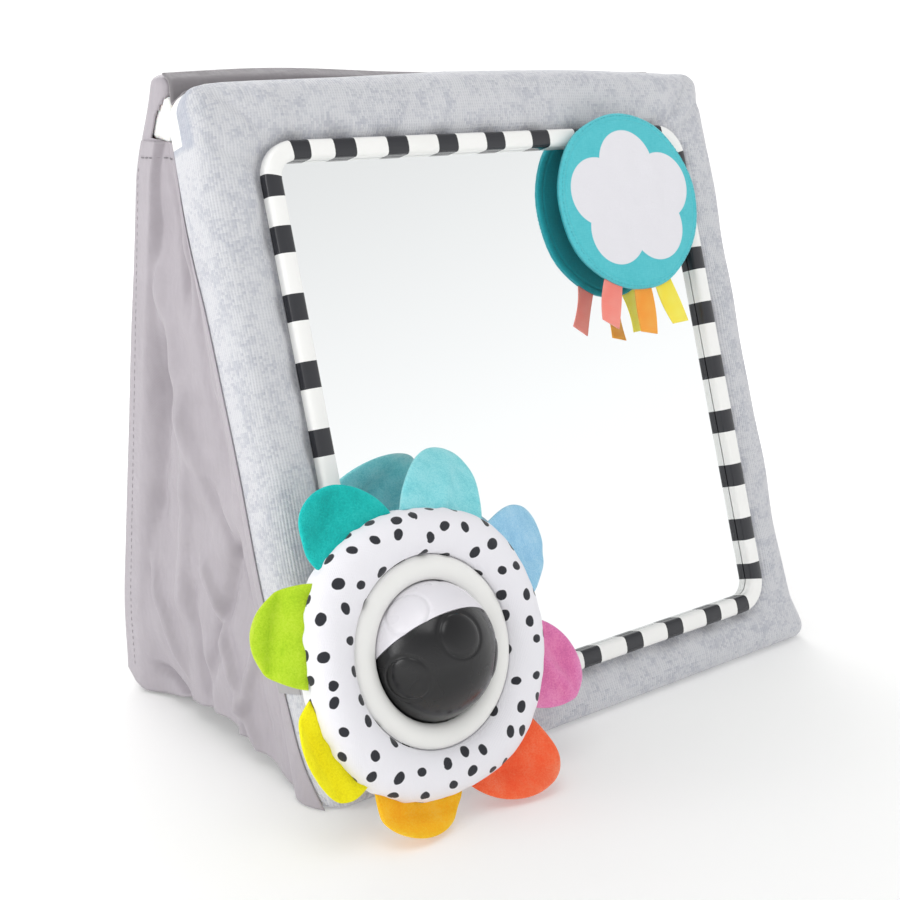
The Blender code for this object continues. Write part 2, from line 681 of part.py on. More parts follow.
def flower(on, cloth, filling, plastic, petals):
    """The stuffed ring, its two bezels and its eight petals."""
    for side, label in ((1, "front"), (-1, "back")):
        place(f"flower_{label}", turned(ring_half(side), RING_STEPS), FLOWER, on, cloth)
        bezel = place(f"bezel_{label}", turned(bezel_profile(side), RING_STEPS), FLOWER, on, plastic)
        bore = turned_bore(AXLE_RADIUS + AXLE_CLEAR, BEZEL_RADIUS)
        boolean(bezel, place(f"bezel_{label}_bore", bore, FLOWER, on))
    place("flower_filling", turned(stuffing_profile(), RING_STEPS), FLOWER, on, filling)
    for index, (name, _, swing, *sizes) in enumerate(PETALS):
        frame = FLOWER @ Matrix.Rotation(PETAL_FIRST - PETAL_TURN * index + swing, 4, "Z")
        place(f"petal_{name}", petal(*sizes), frame, on, petals[name])


def turned_bore(radius, reach):
    """A rod along x, through the flower's middle."""
    bm = bmesh.new()
    turn = Matrix.Rotation(math.pi / 2, 4, "Y")
    bmesh.ops.create_cone(
        bm,
        cap_ends=True,
        segments=BORE_SIDES,
        radius1=radius,
        radius2=radius,
        depth=2 * reach,
        matrix=turn,
    )
    return bm


def petal(length, width, bend, lean):
    """A padded petal: lens sections that narrow to a round tip, bend forwards and lean aside."""
    root = RING_RADIUS + PETAL_ROOT_GAP
    swell_from, swell_to = PETAL_SWELL_SHARES
    rings = []
    for i in range(PETAL_ROWS + 1):
        share = math.sin(math.pi / 2 * i / PETAL_ROWS)
        curl = share**PETAL_CURL
        narrowing = max(0, 1 - share**PETAL_ROUNDNESS) ** (1 / PETAL_ROUNDNESS)
        half = width / 2 * max(narrowing, PETAL_TIP_SHARE)
        swell = math.sin(math.pi * (swell_from + (swell_to - swell_from) * share))
        thick = PETAL_THICKNESS / 2 * (PETAL_EDGE_SHARE + (1 - PETAL_EDGE_SHARE) * swell)
        ring = []
        for k in range(PETAL_SIDES):
            turn = math.tau * k / PETAL_SIDES
            y = half * math.cos(turn)
            base = math.sqrt(root**2 - y**2)
            x = base + (root + length - base) * share
            ring.append((x, y + lean * curl, bend * curl + thick * math.sin(turn)))
        rings.append(ring)
    return skin(rings, strip_caps=True)


def ball_half(on, side, material, label):
    """One hollow half of the ball, its seam rolled round the axle, with notches for the axle."""
    radius, hollow = BALL_RADIUS, BALL_RADIUS - BALL_WALL
    low = math.asin(GAP / 2 / hollow)
    outer = arc((0, 0), radius, low, math.pi / 2, BALL_ARC_STEPS)
    inner = arc((0, 0), hollow, math.pi / 2, low, BALL_ARC_STEPS)
    outer[-1] = (0, radius)
    inner[0] = (0, hollow)
    roll = Matrix.Rotation(BALL_ROLL + (0 if side > 0 else math.pi), 4, "X")
    half = place(f"ball_{label}_half", turned(outer + inner, BALL_STEPS), FLOWER @ roll, on, material)
    bore = turned_bore(AXLE_RADIUS + GAP, BEZEL_RADIUS)
    boolean(half, place(f"ball_{label}_bore", bore, FLOWER, on))


def ball(on, black, white, metal, bead):
    ball_half(on, 1, black, "black")
    ball_half(on, -1, white, "white")
    place("ball_axle", turned_bore(AXLE_RADIUS, COLLAR_RADIUS - GAP), FLOWER, on, metal)
    floor = BALL_RADIUS - BALL_WALL - BEAD_RADIUS - GAP
    apart = 2 * math.asin((BEAD_RADIUS + BEAD_GAP / 2) / floor)
    down = Vector((0, -math.cos(FRONT_LEAN), -math.sin(FRONT_LEAN)))
    for index in range(BEADS):
        spread = apart * (index - (BEADS - 1) / 2)
        spot = down * math.cos(spread) + Vector((math.sin(spread), 0, 0))
        bm = bmesh.new()
        bmesh.ops.create_icosphere(bm, subdivisions=2, radius=BEAD_RADIUS)
        place(f"rattle_bead_{index + 1}", bm, shifted(FLOWER, *(spot * floor)), on, bead)


def webbing(outline, width):
    """A strip of webbing: an outline in its own x and z, carried along y by its width."""
    return skin([[(x, y, z) for x, z in outline] for y in (-width / 2, width / 2)])


def flower_strap(on_panel, on_flower, material):
    """Webbing sewn to the panel's side, which bends at the panel's edge and holds the ring's back."""
    half = STRAP / 2
    frame = STRAP_AXIS
    top = -half - GAP
    leaf = ((-half, top - STRAP_ON_SIDE), (half, top - STRAP_ON_SIDE), (half, top), (-half, top))
    place("strap_anchor", webbing(leaf, STRAP_WIDTH), frame, on_panel, material)
    ring_back = FLOWER_OFFSET - RING_HALF - GAP
    end = arc((0, 0), half, 0, -math.pi, STRAP_STEPS)
    foot = [(-half, ring_back - STRAP), (-half - STRAP_ON_RING, ring_back - STRAP)]
    foot += [(-half - STRAP_ON_RING, ring_back), (half, ring_back)]
    place("flower_strap", webbing(end + foot, STRAP_WIDTH), frame, on_flower, material)


def crinkle_page(on, front, back, film, binding, ribbons):
    """The round page: two cloth faces with crinkle film between them, an edge seam and ribbons."""
    radius = PAGE_RADIUS
    shoulder = radius - PAGE_SEAM
    swell = PAGE_CROWN * PAGE_SHOULDER_SHARE
    low = PAGE_INNER
    high = low + PAGE_CLOTH
    for side, label, cloth in ((1, "front", front), (-1, "back", back)):
        profile = [(0, high + PAGE_CROWN), (shoulder / 2, high + swell), (shoulder, high)]
        profile += [(radius - PAGE_CLOTH, high - PAGE_SEAM_FALL), (radius, GAP)]
        profile += [(radius - PAGE_CLOTH / 2, GAP / 2), (shoulder, low), (shoulder / 2, low + swell)]
        profile.append((0, low + PAGE_CROWN))
        bm = turned([(r, side * z) for r, z in profile], RING_STEPS)
        place(f"page_{label}", bm, PAGE, on, cloth)
    disc = arc((0, 0), shoulder - GAP, 0, math.tau, RING_STEPS)[:-1]
    place("page_film", prism(disc, -PAGE_FILM / 2, PAGE_FILM / 2), PAGE, on, film)
    for name, _, at, width, length, lean in RIBBONS:
        angle = -math.pi / 2 + math.asin(at / radius)
        root = radius + GAP + width * width / 8 / radius
        frame = PAGE @ Matrix.Translation((root * math.cos(angle), root * math.sin(angle), 0))
        frame = frame @ Matrix.Rotation(lean, 4, "Z")
        half = width / 2
        slope = math.tan(math.asin(at / radius) - lean)
        sides = ((-half, -half * slope), (-half, -length))
        outline = sides + ((half, -length - RIBBON_CUT), (half, half * slope))
        place(f"ribbon_{name}", prism(outline, -RIBBON / 2, RIBBON / 2), frame, on, ribbons[name])


def page_tab(on_panel, on_page, material):
    """The cloth tab that hangs the page: a stub sewn to the border, and a leaf on the page's back."""
    half = TAB / 2
    turn = Matrix.Rotation(math.pi / 2, 4, "Z")
    frame = PAGE_AXIS @ turn
    floor = GAP - TAB_AXIS_OFFSET
    top = -half - GAP
    stub = ((-half, floor), (half, floor), (half, top), (-half, top))
    place("page_anchor", webbing(stub, TAB_WIDTH), frame, on_panel, material)
    end = arc((0, 0), half, 0, -math.pi, STRAP_STEPS)
    leaf = [(-half, TAB_REACH - TAB), (-TAB_LEAF, TAB_REACH - TAB), (-TAB_LEAF, TAB_REACH), (half, TAB_REACH)]
    place("page_tab", webbing(end + leaf, TAB_WIDTH), frame, on_page, material)


def build():
    for obj in list(bpy.data.objects):
        bpy.data.objects.remove(obj, do_unlink=True)
    knit = finish("heather_grey_knit", "C4C4CA", 0.9)
    woven = finish("grey_woven_polyester", "A9A4A7", 0.7)
    foam = finish("white_foam", "F2F1EE", 0.9)
    board = finish("grey_board", "8E8C88", 0.8)
    abs_white = finish("white_abs", "F2F2EF", 0.35)
    acrylic = finish("mirrored_acrylic", "EDEFF0", 0.02, 1.0)
    webbing_grey = finish("grey_webbing", "9C9A9C", 0.8)
    dotted = finish("white_jersey", "F1F0F5", 0.9)
    filling = finish("polyester_filling", "FAFAFA", 1.0)
    black = finish("black_abs", "2E2E2F", 0.25)
    steel = finish("steel", "B8B8B8", 0.3, 1.0)
    bead = finish("rattle_beads", "D8443A", 0.3)
    teal = finish("turquoise_cotton", "70CDD2", 0.85)
    dark_teal = finish("teal_cotton", "19A9B5", 0.85)
    film = finish("crinkle_film", "E8E8E8", 0.2)
    petals = {name: finish(f"{name}_velour", code, 0.95) for name, code, *_ in PETALS}
    satins = {name: finish(f"{name}_ribbon", code, 0.5) for name, code, *_ in RIBBONS}

    front = carrier("front_panel_frame", (0, 0, 0))
    back = carrier("fold_hinge", HINGE)
    toy = carrier("flower_hinge", STRAP_AXIS.to_translation())
    spin = carrier("ball_axis", FLOWER.to_translation())
    page = carrier("page_hinge", PAGE_AXIS.to_translation())

    front_panel(front, knit, woven, foam, board)
    mirror_unit(front, abs_white, acrylic, abs_white)
    back_panel(back, woven, foam, board)
    hinge_tape(front, woven)
    for side, label in ((-1, "left"), (1, "right")):
        gusset(front, woven, side, label)
    flower(toy, dotted, filling, abs_white, petals)
    flower_strap(front, toy, webbing_grey)
    ball(spin, black, abs_white, steel, bead)
    crinkle_page(page, teal, dark_teal, film, teal, satins)
    page_tab(front, page, webbing_grey)


build()
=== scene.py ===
"""Looks of the tummy time floor mirror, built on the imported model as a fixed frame.

Metres, +Z up. A panel place is (x, s, o): across, up the front panel's slope, out of its front.
"""

import math

import bmesh
import bpy
import numpy as np
from mathutils import Matrix, Vector


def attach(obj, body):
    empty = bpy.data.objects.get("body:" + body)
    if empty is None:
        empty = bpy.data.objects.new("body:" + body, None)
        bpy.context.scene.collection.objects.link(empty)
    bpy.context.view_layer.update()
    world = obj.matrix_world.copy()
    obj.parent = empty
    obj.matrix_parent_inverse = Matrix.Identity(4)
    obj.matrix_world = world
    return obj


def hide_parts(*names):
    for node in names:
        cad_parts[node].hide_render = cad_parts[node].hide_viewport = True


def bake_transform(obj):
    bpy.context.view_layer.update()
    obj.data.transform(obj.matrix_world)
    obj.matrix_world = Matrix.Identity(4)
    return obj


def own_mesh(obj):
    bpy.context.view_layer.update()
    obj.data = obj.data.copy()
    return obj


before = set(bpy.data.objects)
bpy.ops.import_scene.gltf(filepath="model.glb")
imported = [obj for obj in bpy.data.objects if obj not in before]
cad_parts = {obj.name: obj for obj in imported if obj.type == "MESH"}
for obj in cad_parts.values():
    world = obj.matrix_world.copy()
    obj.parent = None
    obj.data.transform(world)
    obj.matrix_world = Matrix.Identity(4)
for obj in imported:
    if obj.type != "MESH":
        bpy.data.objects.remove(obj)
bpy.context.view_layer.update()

MM = 0.001
TAU = math.tau

# The photograph's view: place, direction and lens of its camera
CAMERA_PLACE = (-433.4 * MM, -432.0 * MM, 282.0 * MM)
CAMERA_AZIMUTH = math.radians(-39.475)
CAMERA_ELEVATION = math.radians(14.809)
CAMERA_LENS = 59.28

# Front panel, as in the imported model
LEAN = math.radians(17)
SETBACK = 7.5 * MM
HALF_WIDTH = 143.5 * MM
HEIGHT = 289 * MM
THICKNESS = 24 * MM
FRAME_HALF_X = 120 * MM
FRAME_HALF_S = 119 * MM
FRAME_CENTRE = 142.5 * MM
FRAME_CORNER = 16 * MM
FRAME_FACE = 8 * MM
FRAME_PROUD = 5 * MM
SKIRT_SET_IN = 4 * MM

# Back panel: its front face hangs from the hinge
BACK_LEAN = math.radians(9.9)
BACK_CLEAR = 0.6 * MM
BACK_THICKNESS = 13 * MM
BACK_RISE = 2.3 * MM
BACK_BOW = 5 * MM

# Flower, ball and page
FLOWER_PLACE = (-106.7 * MM, 57.5 * MM, 31.8 * MM)
RING_RADIUS = 55.8 * MM
RING_HALF = 10 * MM
BEZEL_RADIUS = 36.5 * MM
BEZEL_MOUTH = 27 * MM
BEZEL_FACE = 6.6 * MM
BALL_RADIUS = 27.2 * MM
BALL_ROLL = math.radians(54.6)
PETAL_TURN = math.radians(45)
PETAL_FIRST = math.radians(160.3)
PAGE_PLACE = (68.7 * MM, 224.8 * MM, 10.8 * MM)
PAGE_YAW = math.radians(4.8)
PAGE_RADIUS = 41 * MM


# Places and small curves

def stacked(*parts):
    """Coordinates as one array of points."""
    return np.stack(np.broadcast_arrays(*parts), -1)


def join(*parts):
    return np.concatenate(parts)


def unit(vectors):
    return vectors / np.linalg.norm(vectors, axis=-1, keepdims=True)


def circle(count):
    return np.linspace(0, TAU, count)


def squared(value, power):
    """A cosine or sine made boxier, its sign kept."""
    return np.sign(value) * np.abs(value) ** power


def polar(radius, turn):
    return radius * np.cos(turn), radius * np.sin(turn)


def rotated(a, b, angle):
    """Two coordinates after a turn in their plane."""
    return a * math.cos(angle) - b * math.sin(angle), a * math.sin(angle) + b * math.cos(angle)


def in_mm(table):
    return [tuple(value * MM for value in row) for row in table]


def on_panel(x, s, o):
    """World points of panel places."""
    y = s * math.sin(LEAN) - o * math.cos(LEAN) - SETBACK
    return stacked(x, y, s * math.cos(LEAN) + o * math.sin(LEAN))


HINGE = on_panel(0.0, HEIGHT, -THICKNESS) + np.array([0, 0.8, 1.5]) * MM


def on_back(x, u, o):
    """World points of back panel places: across, up its slope from the hinge, out of its front."""
    y = HINGE[1] - u * math.sin(BACK_LEAN) - o * math.cos(BACK_LEAN)
    return stacked(x, y, HINGE[2] + u * math.cos(BACK_LEAN) - o * math.sin(BACK_LEAN))


def on_flower(x, y, z):
    """World points of places measured from the flower's middle, z out of its front."""
    return on_panel(FLOWER_PLACE[0] + x, FLOWER_PLACE[1] + y, FLOWER_PLACE[2] + z)


def on_page(x, y, z):
    """World points of places measured from the page's middle, which is yawed on its tab."""
    across, out = rotated(x, z, PAGE_YAW)
    return on_panel(PAGE_PLACE[0] + across, PAGE_PLACE[1] + y, PAGE_PLACE[2] + out)


def smooth(t):
    """0 below 0, 1 above 1, and an even S between."""
    t = np.clip(t, 0, 1)
    return t * t * (3 - 2 * t)


def bell(t):
    """A round bump of height 1 at t = 0 that has died out by about t = 2."""
    return np.exp(-t * t)


def waves(a, b, size, seed, count=7):
    """Soft uneven swells over a plane: the mean of sines in scattered directions, about -1 to 1."""
    rng = np.random.default_rng(seed)
    total = np.zeros(np.broadcast(a, b).shape)
    draws = [rng.uniform(low, high, count) for low, high in ((0, TAU), (0, TAU), (0.7, 1.6))]
    for turn, phase, pitch in zip(*draws):
        total = total + np.sin(TAU * (a * math.cos(turn) + b * math.sin(turn)) / (size * pitch) + phase)
    return total / math.sqrt(count)


def frame_distance(x, s):
    """How far a panel place lies outside the striped frame's outer edge, below zero within it."""
    qx = np.abs(x) - (FRAME_HALF_X - FRAME_CORNER)
    qs = np.abs(s - FRAME_CENTRE) - (FRAME_HALF_S - FRAME_CORNER)
    corner = np.hypot(np.maximum(qx, 0), np.maximum(qs, 0))
    return corner + np.minimum(np.maximum(qx, qs), 0) - FRAME_CORNER


def folds(a, b, table):
    """Creases along lines: each row is start, end, width and depth, and the crease fades at its ends."""
    total = np.zeros(np.broadcast(a, b).shape)
    for a0, b0, a1, b1, width, depth in table:
        length = math.hypot(a1 - a0, b1 - b0)
        ta, tb = (a1 - a0) / length, (b1 - b0) / length
        along = ((a - a0) * ta + (b - b0) * tb) / length
        across = ((a - a0) * tb - (b - b0) * ta) / width
        total = total + depth * bell(across) * smooth(along * 3 + 0.6) * smooth((1 - along) * 3 + 0.6)
    return total


def rectangle_path(half_x, half_s, radius, centre, steps):
    """A rectangle with round corners, closed, as points and outward directions."""
    corners = []
    for turn, (side_x, side_s) in enumerate(((1, 1), (-1, 1), (-1, -1), (1, -1))):
        angle = np.linspace(turn * math.pi / 2, (turn + 1) * math.pi / 2, steps)
        middle = np.array([side_x * (half_x - radius), centre + side_s * (half_s - radius)])
        corners.append((middle, angle))
    points = np.concatenate([m + radius * stacked(np.cos(a), np.sin(a)) for m, a in corners])
    out = np.concatenate([stacked(np.cos(a), np.sin(a)) for _, a in corners])
    points = join(points, points[:1])
    out = join(out, out[:1])
    return points, out


# Meshes

def piece(name, points, uv=None, flat_ends=False, keep=None, outward=True, sharp=None):
    """A mesh object over a grid of points (rows, columns, 3), its doubled edges and poles merged.

    Quad (i, j) joins points (i, j), (i + 1, j), (i + 1, j + 1) and (i, j + 1). keep is a mask of
    the quads to make, and flat_ends closes the first and last rows with one face each.
    """
    rows, columns = points.shape[:2]
    i, j = np.meshgrid(np.arange(rows - 1), np.arange(columns - 1), indexing="ij")
    corner = i * columns + j
    quads = stacked(corner, corner + columns, corner + columns + 1, corner + 1)
    quads = quads[keep] if keep is not None else quads.reshape(-1, 4)
    mesh = bpy.data.meshes.new(name)
    faces = quads.tolist()
    if flat_ends:
        faces += [list(range(columns - 1)), list(range((rows - 1) * columns, rows * columns - 1))[::-1]]
    mesh.from_pydata(points.reshape(-1, 3), [], faces)
    if uv is not None:
        index = np.empty(len(mesh.loops), np.int32)
        mesh.loops.foreach_get("vertex_index", index)
        layer = mesh.uv_layers.new(name="cloth")
        layer.uv.foreach_set("vector", uv.reshape(-1, 2)[index].astype(np.float32).ravel())
    bm = bmesh.new()
    bm.from_mesh(mesh)
    bmesh.ops.remove_doubles(bm, verts=bm.verts, dist=2e-6)
    loose = [v for v in bm.verts if not v.link_faces]
    bmesh.ops.delete(bm, geom=loose, context="VERTS")
    if outward:
        bmesh.ops.recalc_face_normals(bm, faces=bm.faces)
    bm.to_mesh(mesh)
    bm.free()
    mesh.shade_smooth()
    if sharp:
        mesh.set_sharp_from_angle(angle=sharp)
    obj = bpy.data.objects.new(name, mesh)
    bpy.context.scene.collection.objects.link(obj)
    return obj


def thickened(obj, thickness, offset=-1.0):
    """Gives a cloth piece its thickness, with its rims closed."""
    modifier = obj.modifiers.new("thickness", "SOLIDIFY")
    modifier.thickness = thickness
    modifier.offset = offset
    modifier.use_even_offset = False
    depsgraph = bpy.context.evaluated_depsgraph_get()
    mesh = bpy.data.meshes.new_from_object(obj.evaluated_get(depsgraph))
    obj.modifiers.clear()
    obj.data = mesh
    return obj


def stitches(name, path, normal, length, pitch, radius, bite):
    """A row of thread stitches: short rods that rise from the cloth and dip back into it.

    Stitch k covers the path from k * pitch to k * pitch + length. Across it the rod is six-sided,
    and its middle line lifts off the cloth as the square root of a parabola.
    """
    step = join([0], np.cumsum(np.linalg.norm(np.diff(path, axis=0), axis=1)))
    count = int((step[-1] - length) / pitch) + 1
    share = np.linspace(0, 1, 6)
    spots = (np.arange(count)[:, None] * pitch + share * length).ravel()
    middle = np.stack([np.interp(spots, step, path[:, k]) for k in range(3)], -1).reshape(count, -1, 3)
    ahead = unit(np.gradient(middle, axis=1))
    out = np.stack([np.interp(spots, step, normal[:, k]) for k in range(3)], -1).reshape(count, -1, 3)
    side = np.cross(ahead, out)
    lift = np.sqrt(np.clip(4 * share * (1 - share), 0, 1))
    middle = middle + out * (lift * (radius * 0.7 + bite) - bite)[None, :, None]
    turn = circle(7)
    thin = radius * (0.35 + 0.65 * lift)[None, :, None, None]
    ring = side[:, :, None] * np.cos(turn)[:, None] + out[:, :, None] * np.sin(turn)[:, None]
    points = middle[:, :, None] + ring * thin
    rows = points.reshape(count * len(share), 7, 3)
    keep = np.ones((len(rows) - 1, 6), bool)
    keep[len(share) - 1 :: len(share)] = False
    return piece(name, rows, keep=keep)


# Materials

def colour(code):
    """An sRGB hex code as the linear colour that a shader takes."""
    channels = [int(code[k : k + 2], 16) / 255 for k in (0, 2, 4)]
    return [c / 12.92 if c <= 0.04045 else ((c + 0.055) / 1.055) ** 2.4 for c in channels] + [1.0]


def fill(socket, value):
    """Gives a shader socket a number, a vector, a hex colour or another node's wire."""
    if isinstance(value, Wire):
        value.tree.links.new(value.socket, socket)
    else:
        socket.default_value = colour(value) if isinstance(value, str) else value


def add(tree, kind, inputs=None, output=0, **settings):
    """Adds a shader node with its settings and inputs, and returns the wire of one output."""
    node = tree.nodes.new("ShaderNode" + kind)
    for name, value in settings.items():
        setattr(node, name, value)
    for socket, value in (inputs or {}).items():
        fill(node.inputs[socket], value)
    return Wire(tree, node.outputs[output])


class Wire:
    """One output of a shader node. Sums and products of wires are further nodes."""

    def __init__(self, tree, socket):
        self.tree, self.socket = tree, socket

    def math(self, operation, other=0.0):
        return add(self.tree, "Math", {0: self, 1: other}, operation=operation)

    def vector(self, operation, other=(0, 0, 0), output=0):
        return add(self.tree, "VectorMath", {0: self, 1: other}, output, operation=operation)

    def part(self, axis):
        return add(self.tree, "SeparateXYZ", {0: self}, axis)

    def __add__(self, other):
        return self.math("ADD", other)

    def __sub__(self, other):
        return self.math("SUBTRACT", other)

    def __mul__(self, other):
        return self.math("MULTIPLY", other)


class Finish:
    """A material in the making, with its Principled BSDF; base is a hex code."""

    def __init__(self, name, base, roughness, **values):
        self.material = bpy.data.materials.new(name)
        self.material.use_nodes = True
        self.tree = self.material.node_tree
        self.done(base=base, Roughness=roughness, **values)

    @property
    def uv(self):
        return add(self.tree, "UVMap", output="UV", uv_map="cloth")

    @property
    def place(self):
        return add(self.tree, "TexCoord", output="Object")

    def done(self, height=None, depth=0.0, base=None, strength=1.0, **values):
        """Joins the base colour, other sockets and a bump, whose height of 1 stands for depth in metres."""
        if base is not None:
            values["Base_Color"] = base
        if height is not None:
            bump = {"Height": height, "Distance": depth, "Strength": strength}
            values["Normal"] = add(self.tree, "Bump", bump, "Normal")
        for socket, value in values.items():
            fill(self.tree.nodes["Principled BSDF"].inputs[socket.replace("_", " ")], value)
        return self.material


def mixed(factor, first, second):
    """A colour between two: hex codes or wires."""
    return add(factor.tree, "Mix", {"Factor": factor, 6: first, 7: second}, 2, data_type="RGBA")


def scaled(vector, x, y, z=0):
    return vector.vector("MULTIPLY", (x, y, z))


def mottle(vector, size, detail=2.0, roughness=0.5):
    """Noise whose blotches are about size across, 0 to 1."""
    inputs = {"Vector": vector, "Scale": 1 / size, "Detail": detail, "Roughness": roughness}
    return add(vector.tree, "TexNoise", inputs, "Fac")


def ramp(value, low, high, to_low=0.0, to_high=1.0):
    inputs = {"Value": value, "From Min": low, "From Max": high, "To Min": to_low, "To Max": to_high}
    return add(value.tree, "MapRange", inputs, "Result")


def heather_knit():
    """Polyester jersey knit, brushed, with a melange print: wales 1.3 mm apart, drawn as ridges
    of stitches, and grey flecks one or two stitches wide that gather in loose patches. At the top
    corners' sides, where the knit tucks in, a darker, bluer patch is painted shade of that fold,
    and behind that, where the knit ends, the white foam under it shows."""
    look = Finish("heather_grey_knit", "C9CACF", 0.92, Sheen_Weight=0.25, Sheen_Roughness=0.5)
    wale, course = 1.3 * MM, 1.15 * MM
    uv, place = look.uv, look.place
    cells = scaled(uv, 1 / wale, 1 / course)
    snapped = cells.vector("FLOOR")
    single = add(look.tree, "TexWhiteNoise", {"Vector": snapped}, "Value", noise_dimensions="2D")
    patch = mottle(scaled(snapped, wale, course), 9 * MM, 3.0, 0.65)
    fleck = ramp(single * 0.3 + patch + mottle(uv, 34 * MM) * 0.25, 0.72, 1.0)
    ridge = cells.part("X").math("PINGPONG", 0.5)
    stitch = ((cells.part("Y") + ridge * 1.4) * TAU).math("SINE")
    height = ridge * 1.5 + stitch * 0.14
    # Painted shade: the grooves between the stitches take the darker grey, and the ridge tops take the
    # lighter one.
    base = mixed(fleck * 0.6, mixed(ramp(height, 0.0, 0.35), "C5C6CB", "D0D1D5"), "A5A8B4")
    up = place.vector("DOT_PRODUCT", (0, math.sin(LEAN), math.cos(LEAN)), "Value")
    out = place.vector("DOT_PRODUCT", (0, -math.cos(LEAN), math.sin(LEAN)), "Value")
    across = place.part("X").math("ABSOLUTE")
    # Painted shade: a darker, bluer patch on the sides of the top corners, where the knit tucks in.
    fold_shade = ramp(across, HALF_WIDTH - 4.5 * MM, HALF_WIDTH - 3 * MM) * ramp(up, 259 * MM, 261 * MM)
    fold_shade = fold_shade * ramp(out, 2.5 * MM, 4.5 * MM, 1.0, 0.0)
    bare = ramp(across, HALF_WIDTH - 15.7 * MM, HALF_WIDTH - 15.3 * MM) * ramp(up, 261.8 * MM, 262.2 * MM)
    bare = bare * ramp(up, 281.2 * MM, 281.8 * MM, 1.0, 0.0) * ramp(out, -4.7 * MM, -4.3 * MM, 1.0, 0.0)
    height = (height + mottle(uv, 0.6 * MM) * 0.5) * ramp(bare, 0.0, 1.0, 1.0, 0.15)
    return look.done(height, 0.22 * MM, mixed(bare, mixed(fold_shade * 0.5, base, "9DA4B5"), "F3F2EF"))


def woven_polyester(name, base, light, roughness=0.52):
    """Lightweight polyester plain weave with a dull sheen; the 0.35 mm threads are drawn 0.8 mm
    apart, and broad soft patches stand for where it has been pressed and creased."""
    look = Finish(name, base, roughness, Sheen_Weight=0.2, Sheen_Roughness=0.35)
    uv = look.uv
    threads = scaled(uv, 1 / (0.8 * MM), 1 / (0.8 * MM))
    warp, weft = [(threads.part(axis) * TAU).math("SINE") for axis in "XY"]
    tone = mottle(scaled(uv, 1, 0.12), 1.6 * MM) * 0.35 + mottle(uv, 45 * MM, 3.0, 0.55) * 0.65
    crumple = mottle(uv, 14 * MM, 3.0, 0.6)
    return look.done(warp * weft * 0.02 + crumple, 1.1 * MM, mixed(ramp(tone, 0.3, 0.7), base, light))


def foam():
    """Cut polyurethane foam: matt white with open pores under half a millimetre."""
    look = Finish("white_foam", "F3F2EF", 0.95, Subsurface_Weight=0.1, Subsurface_Scale=0.004)
    return look.done(mottle(look.place, 0.7 * MM, 3.0, 0.7), 0.3 * MM)


def striped_abs():
    """Injection-moulded white ABS, glossy, with pad-printed black bars; the length along the frame is
    in U, so each straight side carries seven long bars and a short one near each corner."""
    look = Finish("striped_white_abs", "F4F4F2", 0.24, IOR=1.5)
    pitch, bar, far_bar, far_place = 26.7 * MM, 10.7 * MM, 9.0 * MM, 101.5 * MM
    along, place = look.uv.part("X"), look.place
    far = along.math("ABSOLUTE")
    inner = along.math("PINGPONG", pitch / 2).math("LESS_THAN", bar / 2)
    inner = inner * far.math("LESS_THAN", 3.3 * pitch)
    outer = (far - far_place).math("ABSOLUTE").math("LESS_THAN", far_bar / 2)
    black = inner.math("MAXIMUM", outer)
    grime = mottle(place, 30 * MM)
    base = mixed(black, mixed(grime, "F6F6F4", "EEEEEB"), "26272C")
    sink = mottle(place, 6 * MM, 1.0)
    return look.done(sink + black * 0.4, 0.05 * MM, base, Roughness=grime * 0.08 + 0.2)


def mirrored_acrylic():
    """Acrylic sheet, vacuum-coated on its back: a clear, almost flat reflection."""
    look = Finish("mirrored_acrylic", "F4F6F6", 0.0, Metallic=1.0)
    return look.done(mottle(look.place, 90 * MM, 1.0), 0.05 * MM, strength=0.5)


def moulded(name, base, roughness):
    """Moulded ABS or polypropylene with the slight orange peel of a polished tool."""
    look = Finish(name, base, roughness, IOR=1.5)
    place = look.place
    cloudy = ramp(mottle(place, 12 * MM), 0.3, 0.7, roughness * 0.85, roughness * 1.2)
    return look.done(mottle(place, 2.5 * MM, 1.0), 0.03 * MM, Roughness=cloudy)


def dotted_jersey():
    """White cotton jersey printed with loose black oval dots about 5 mm long, one in each 10 mm
    cell, each turned and sized by its own cell; the flat cut's place is in the UV map."""
    look = Finish("dotted_white_jersey", "F3F2F6", 0.9, Sheen_Weight=0.2, Sheen_Roughness=0.5)
    uv, cell = look.uv, 10.4 * MM
    place = scaled(uv, 1 / cell, 1 / cell)
    cells = {"Vector": place, "Scale": 1.0, "Randomness": 0.5}
    centre = add(look.tree, "TexVoronoi", cells, "Position", voronoi_dimensions="2D")
    own = add(look.tree, "TexWhiteNoise", {"Vector": centre}, "Value", noise_dimensions="2D")
    turn = {"Vector": place.vector("SUBTRACT", centre), "Angle": own * math.pi}
    turned = add(look.tree, "VectorRotate", turn, rotation_type="Z_AXIS")
    reach = scaled(turned, 1.0, 1.28, 1.0).vector("LENGTH", output="Value")
    edge = reach + mottle(uv, 2.2 * MM, 1.0) * 0.05 - ramp(own, 0.0, 1.0, 0.225, 0.28)
    rows = {"Vector": uv, "Scale": 1 / (2.2 * MM), "Distortion": 0.6}
    loops = add(look.tree, "TexWave", rows, "Fac", wave_type="BANDS")
    return look.done(loops, 0.05 * MM, mixed(ramp(edge, -0.012, 0.012, 1.0, 0.0), "ECEBF0", "24252C"))


def velour(name, base, deep, light):
    """Polyester velour: a short dense pile that lies in patches, darker where one looks down into it
    and paler along folds; the 0.4 mm pile tufts are drawn as fine grain. Some light comes through."""
    look = Finish(name, base, 0.95, Subsurface_Weight=0.45, Subsurface_Scale=0.005, Sheen_Weight=0.6,
                  Sheen_Roughness=0.35, Subsurface_Radius=(1, 1, 1), Sheen_Tint=light)
    place = look.place
    grain = mottle(place, 0.75 * MM, 3.0, 0.75)
    tone = grain * 0.7 + mottle(scaled(place, 1, 1, 0.6), 7 * MM, 3.0, 0.6) * 0.5
    shade = mixed(ramp(tone, 0.38, 0.62), deep, base)
    return look.done(grain, 0.35 * MM, mixed(ramp(tone, 0.6, 0.85, 0, 0.6), shade, light))


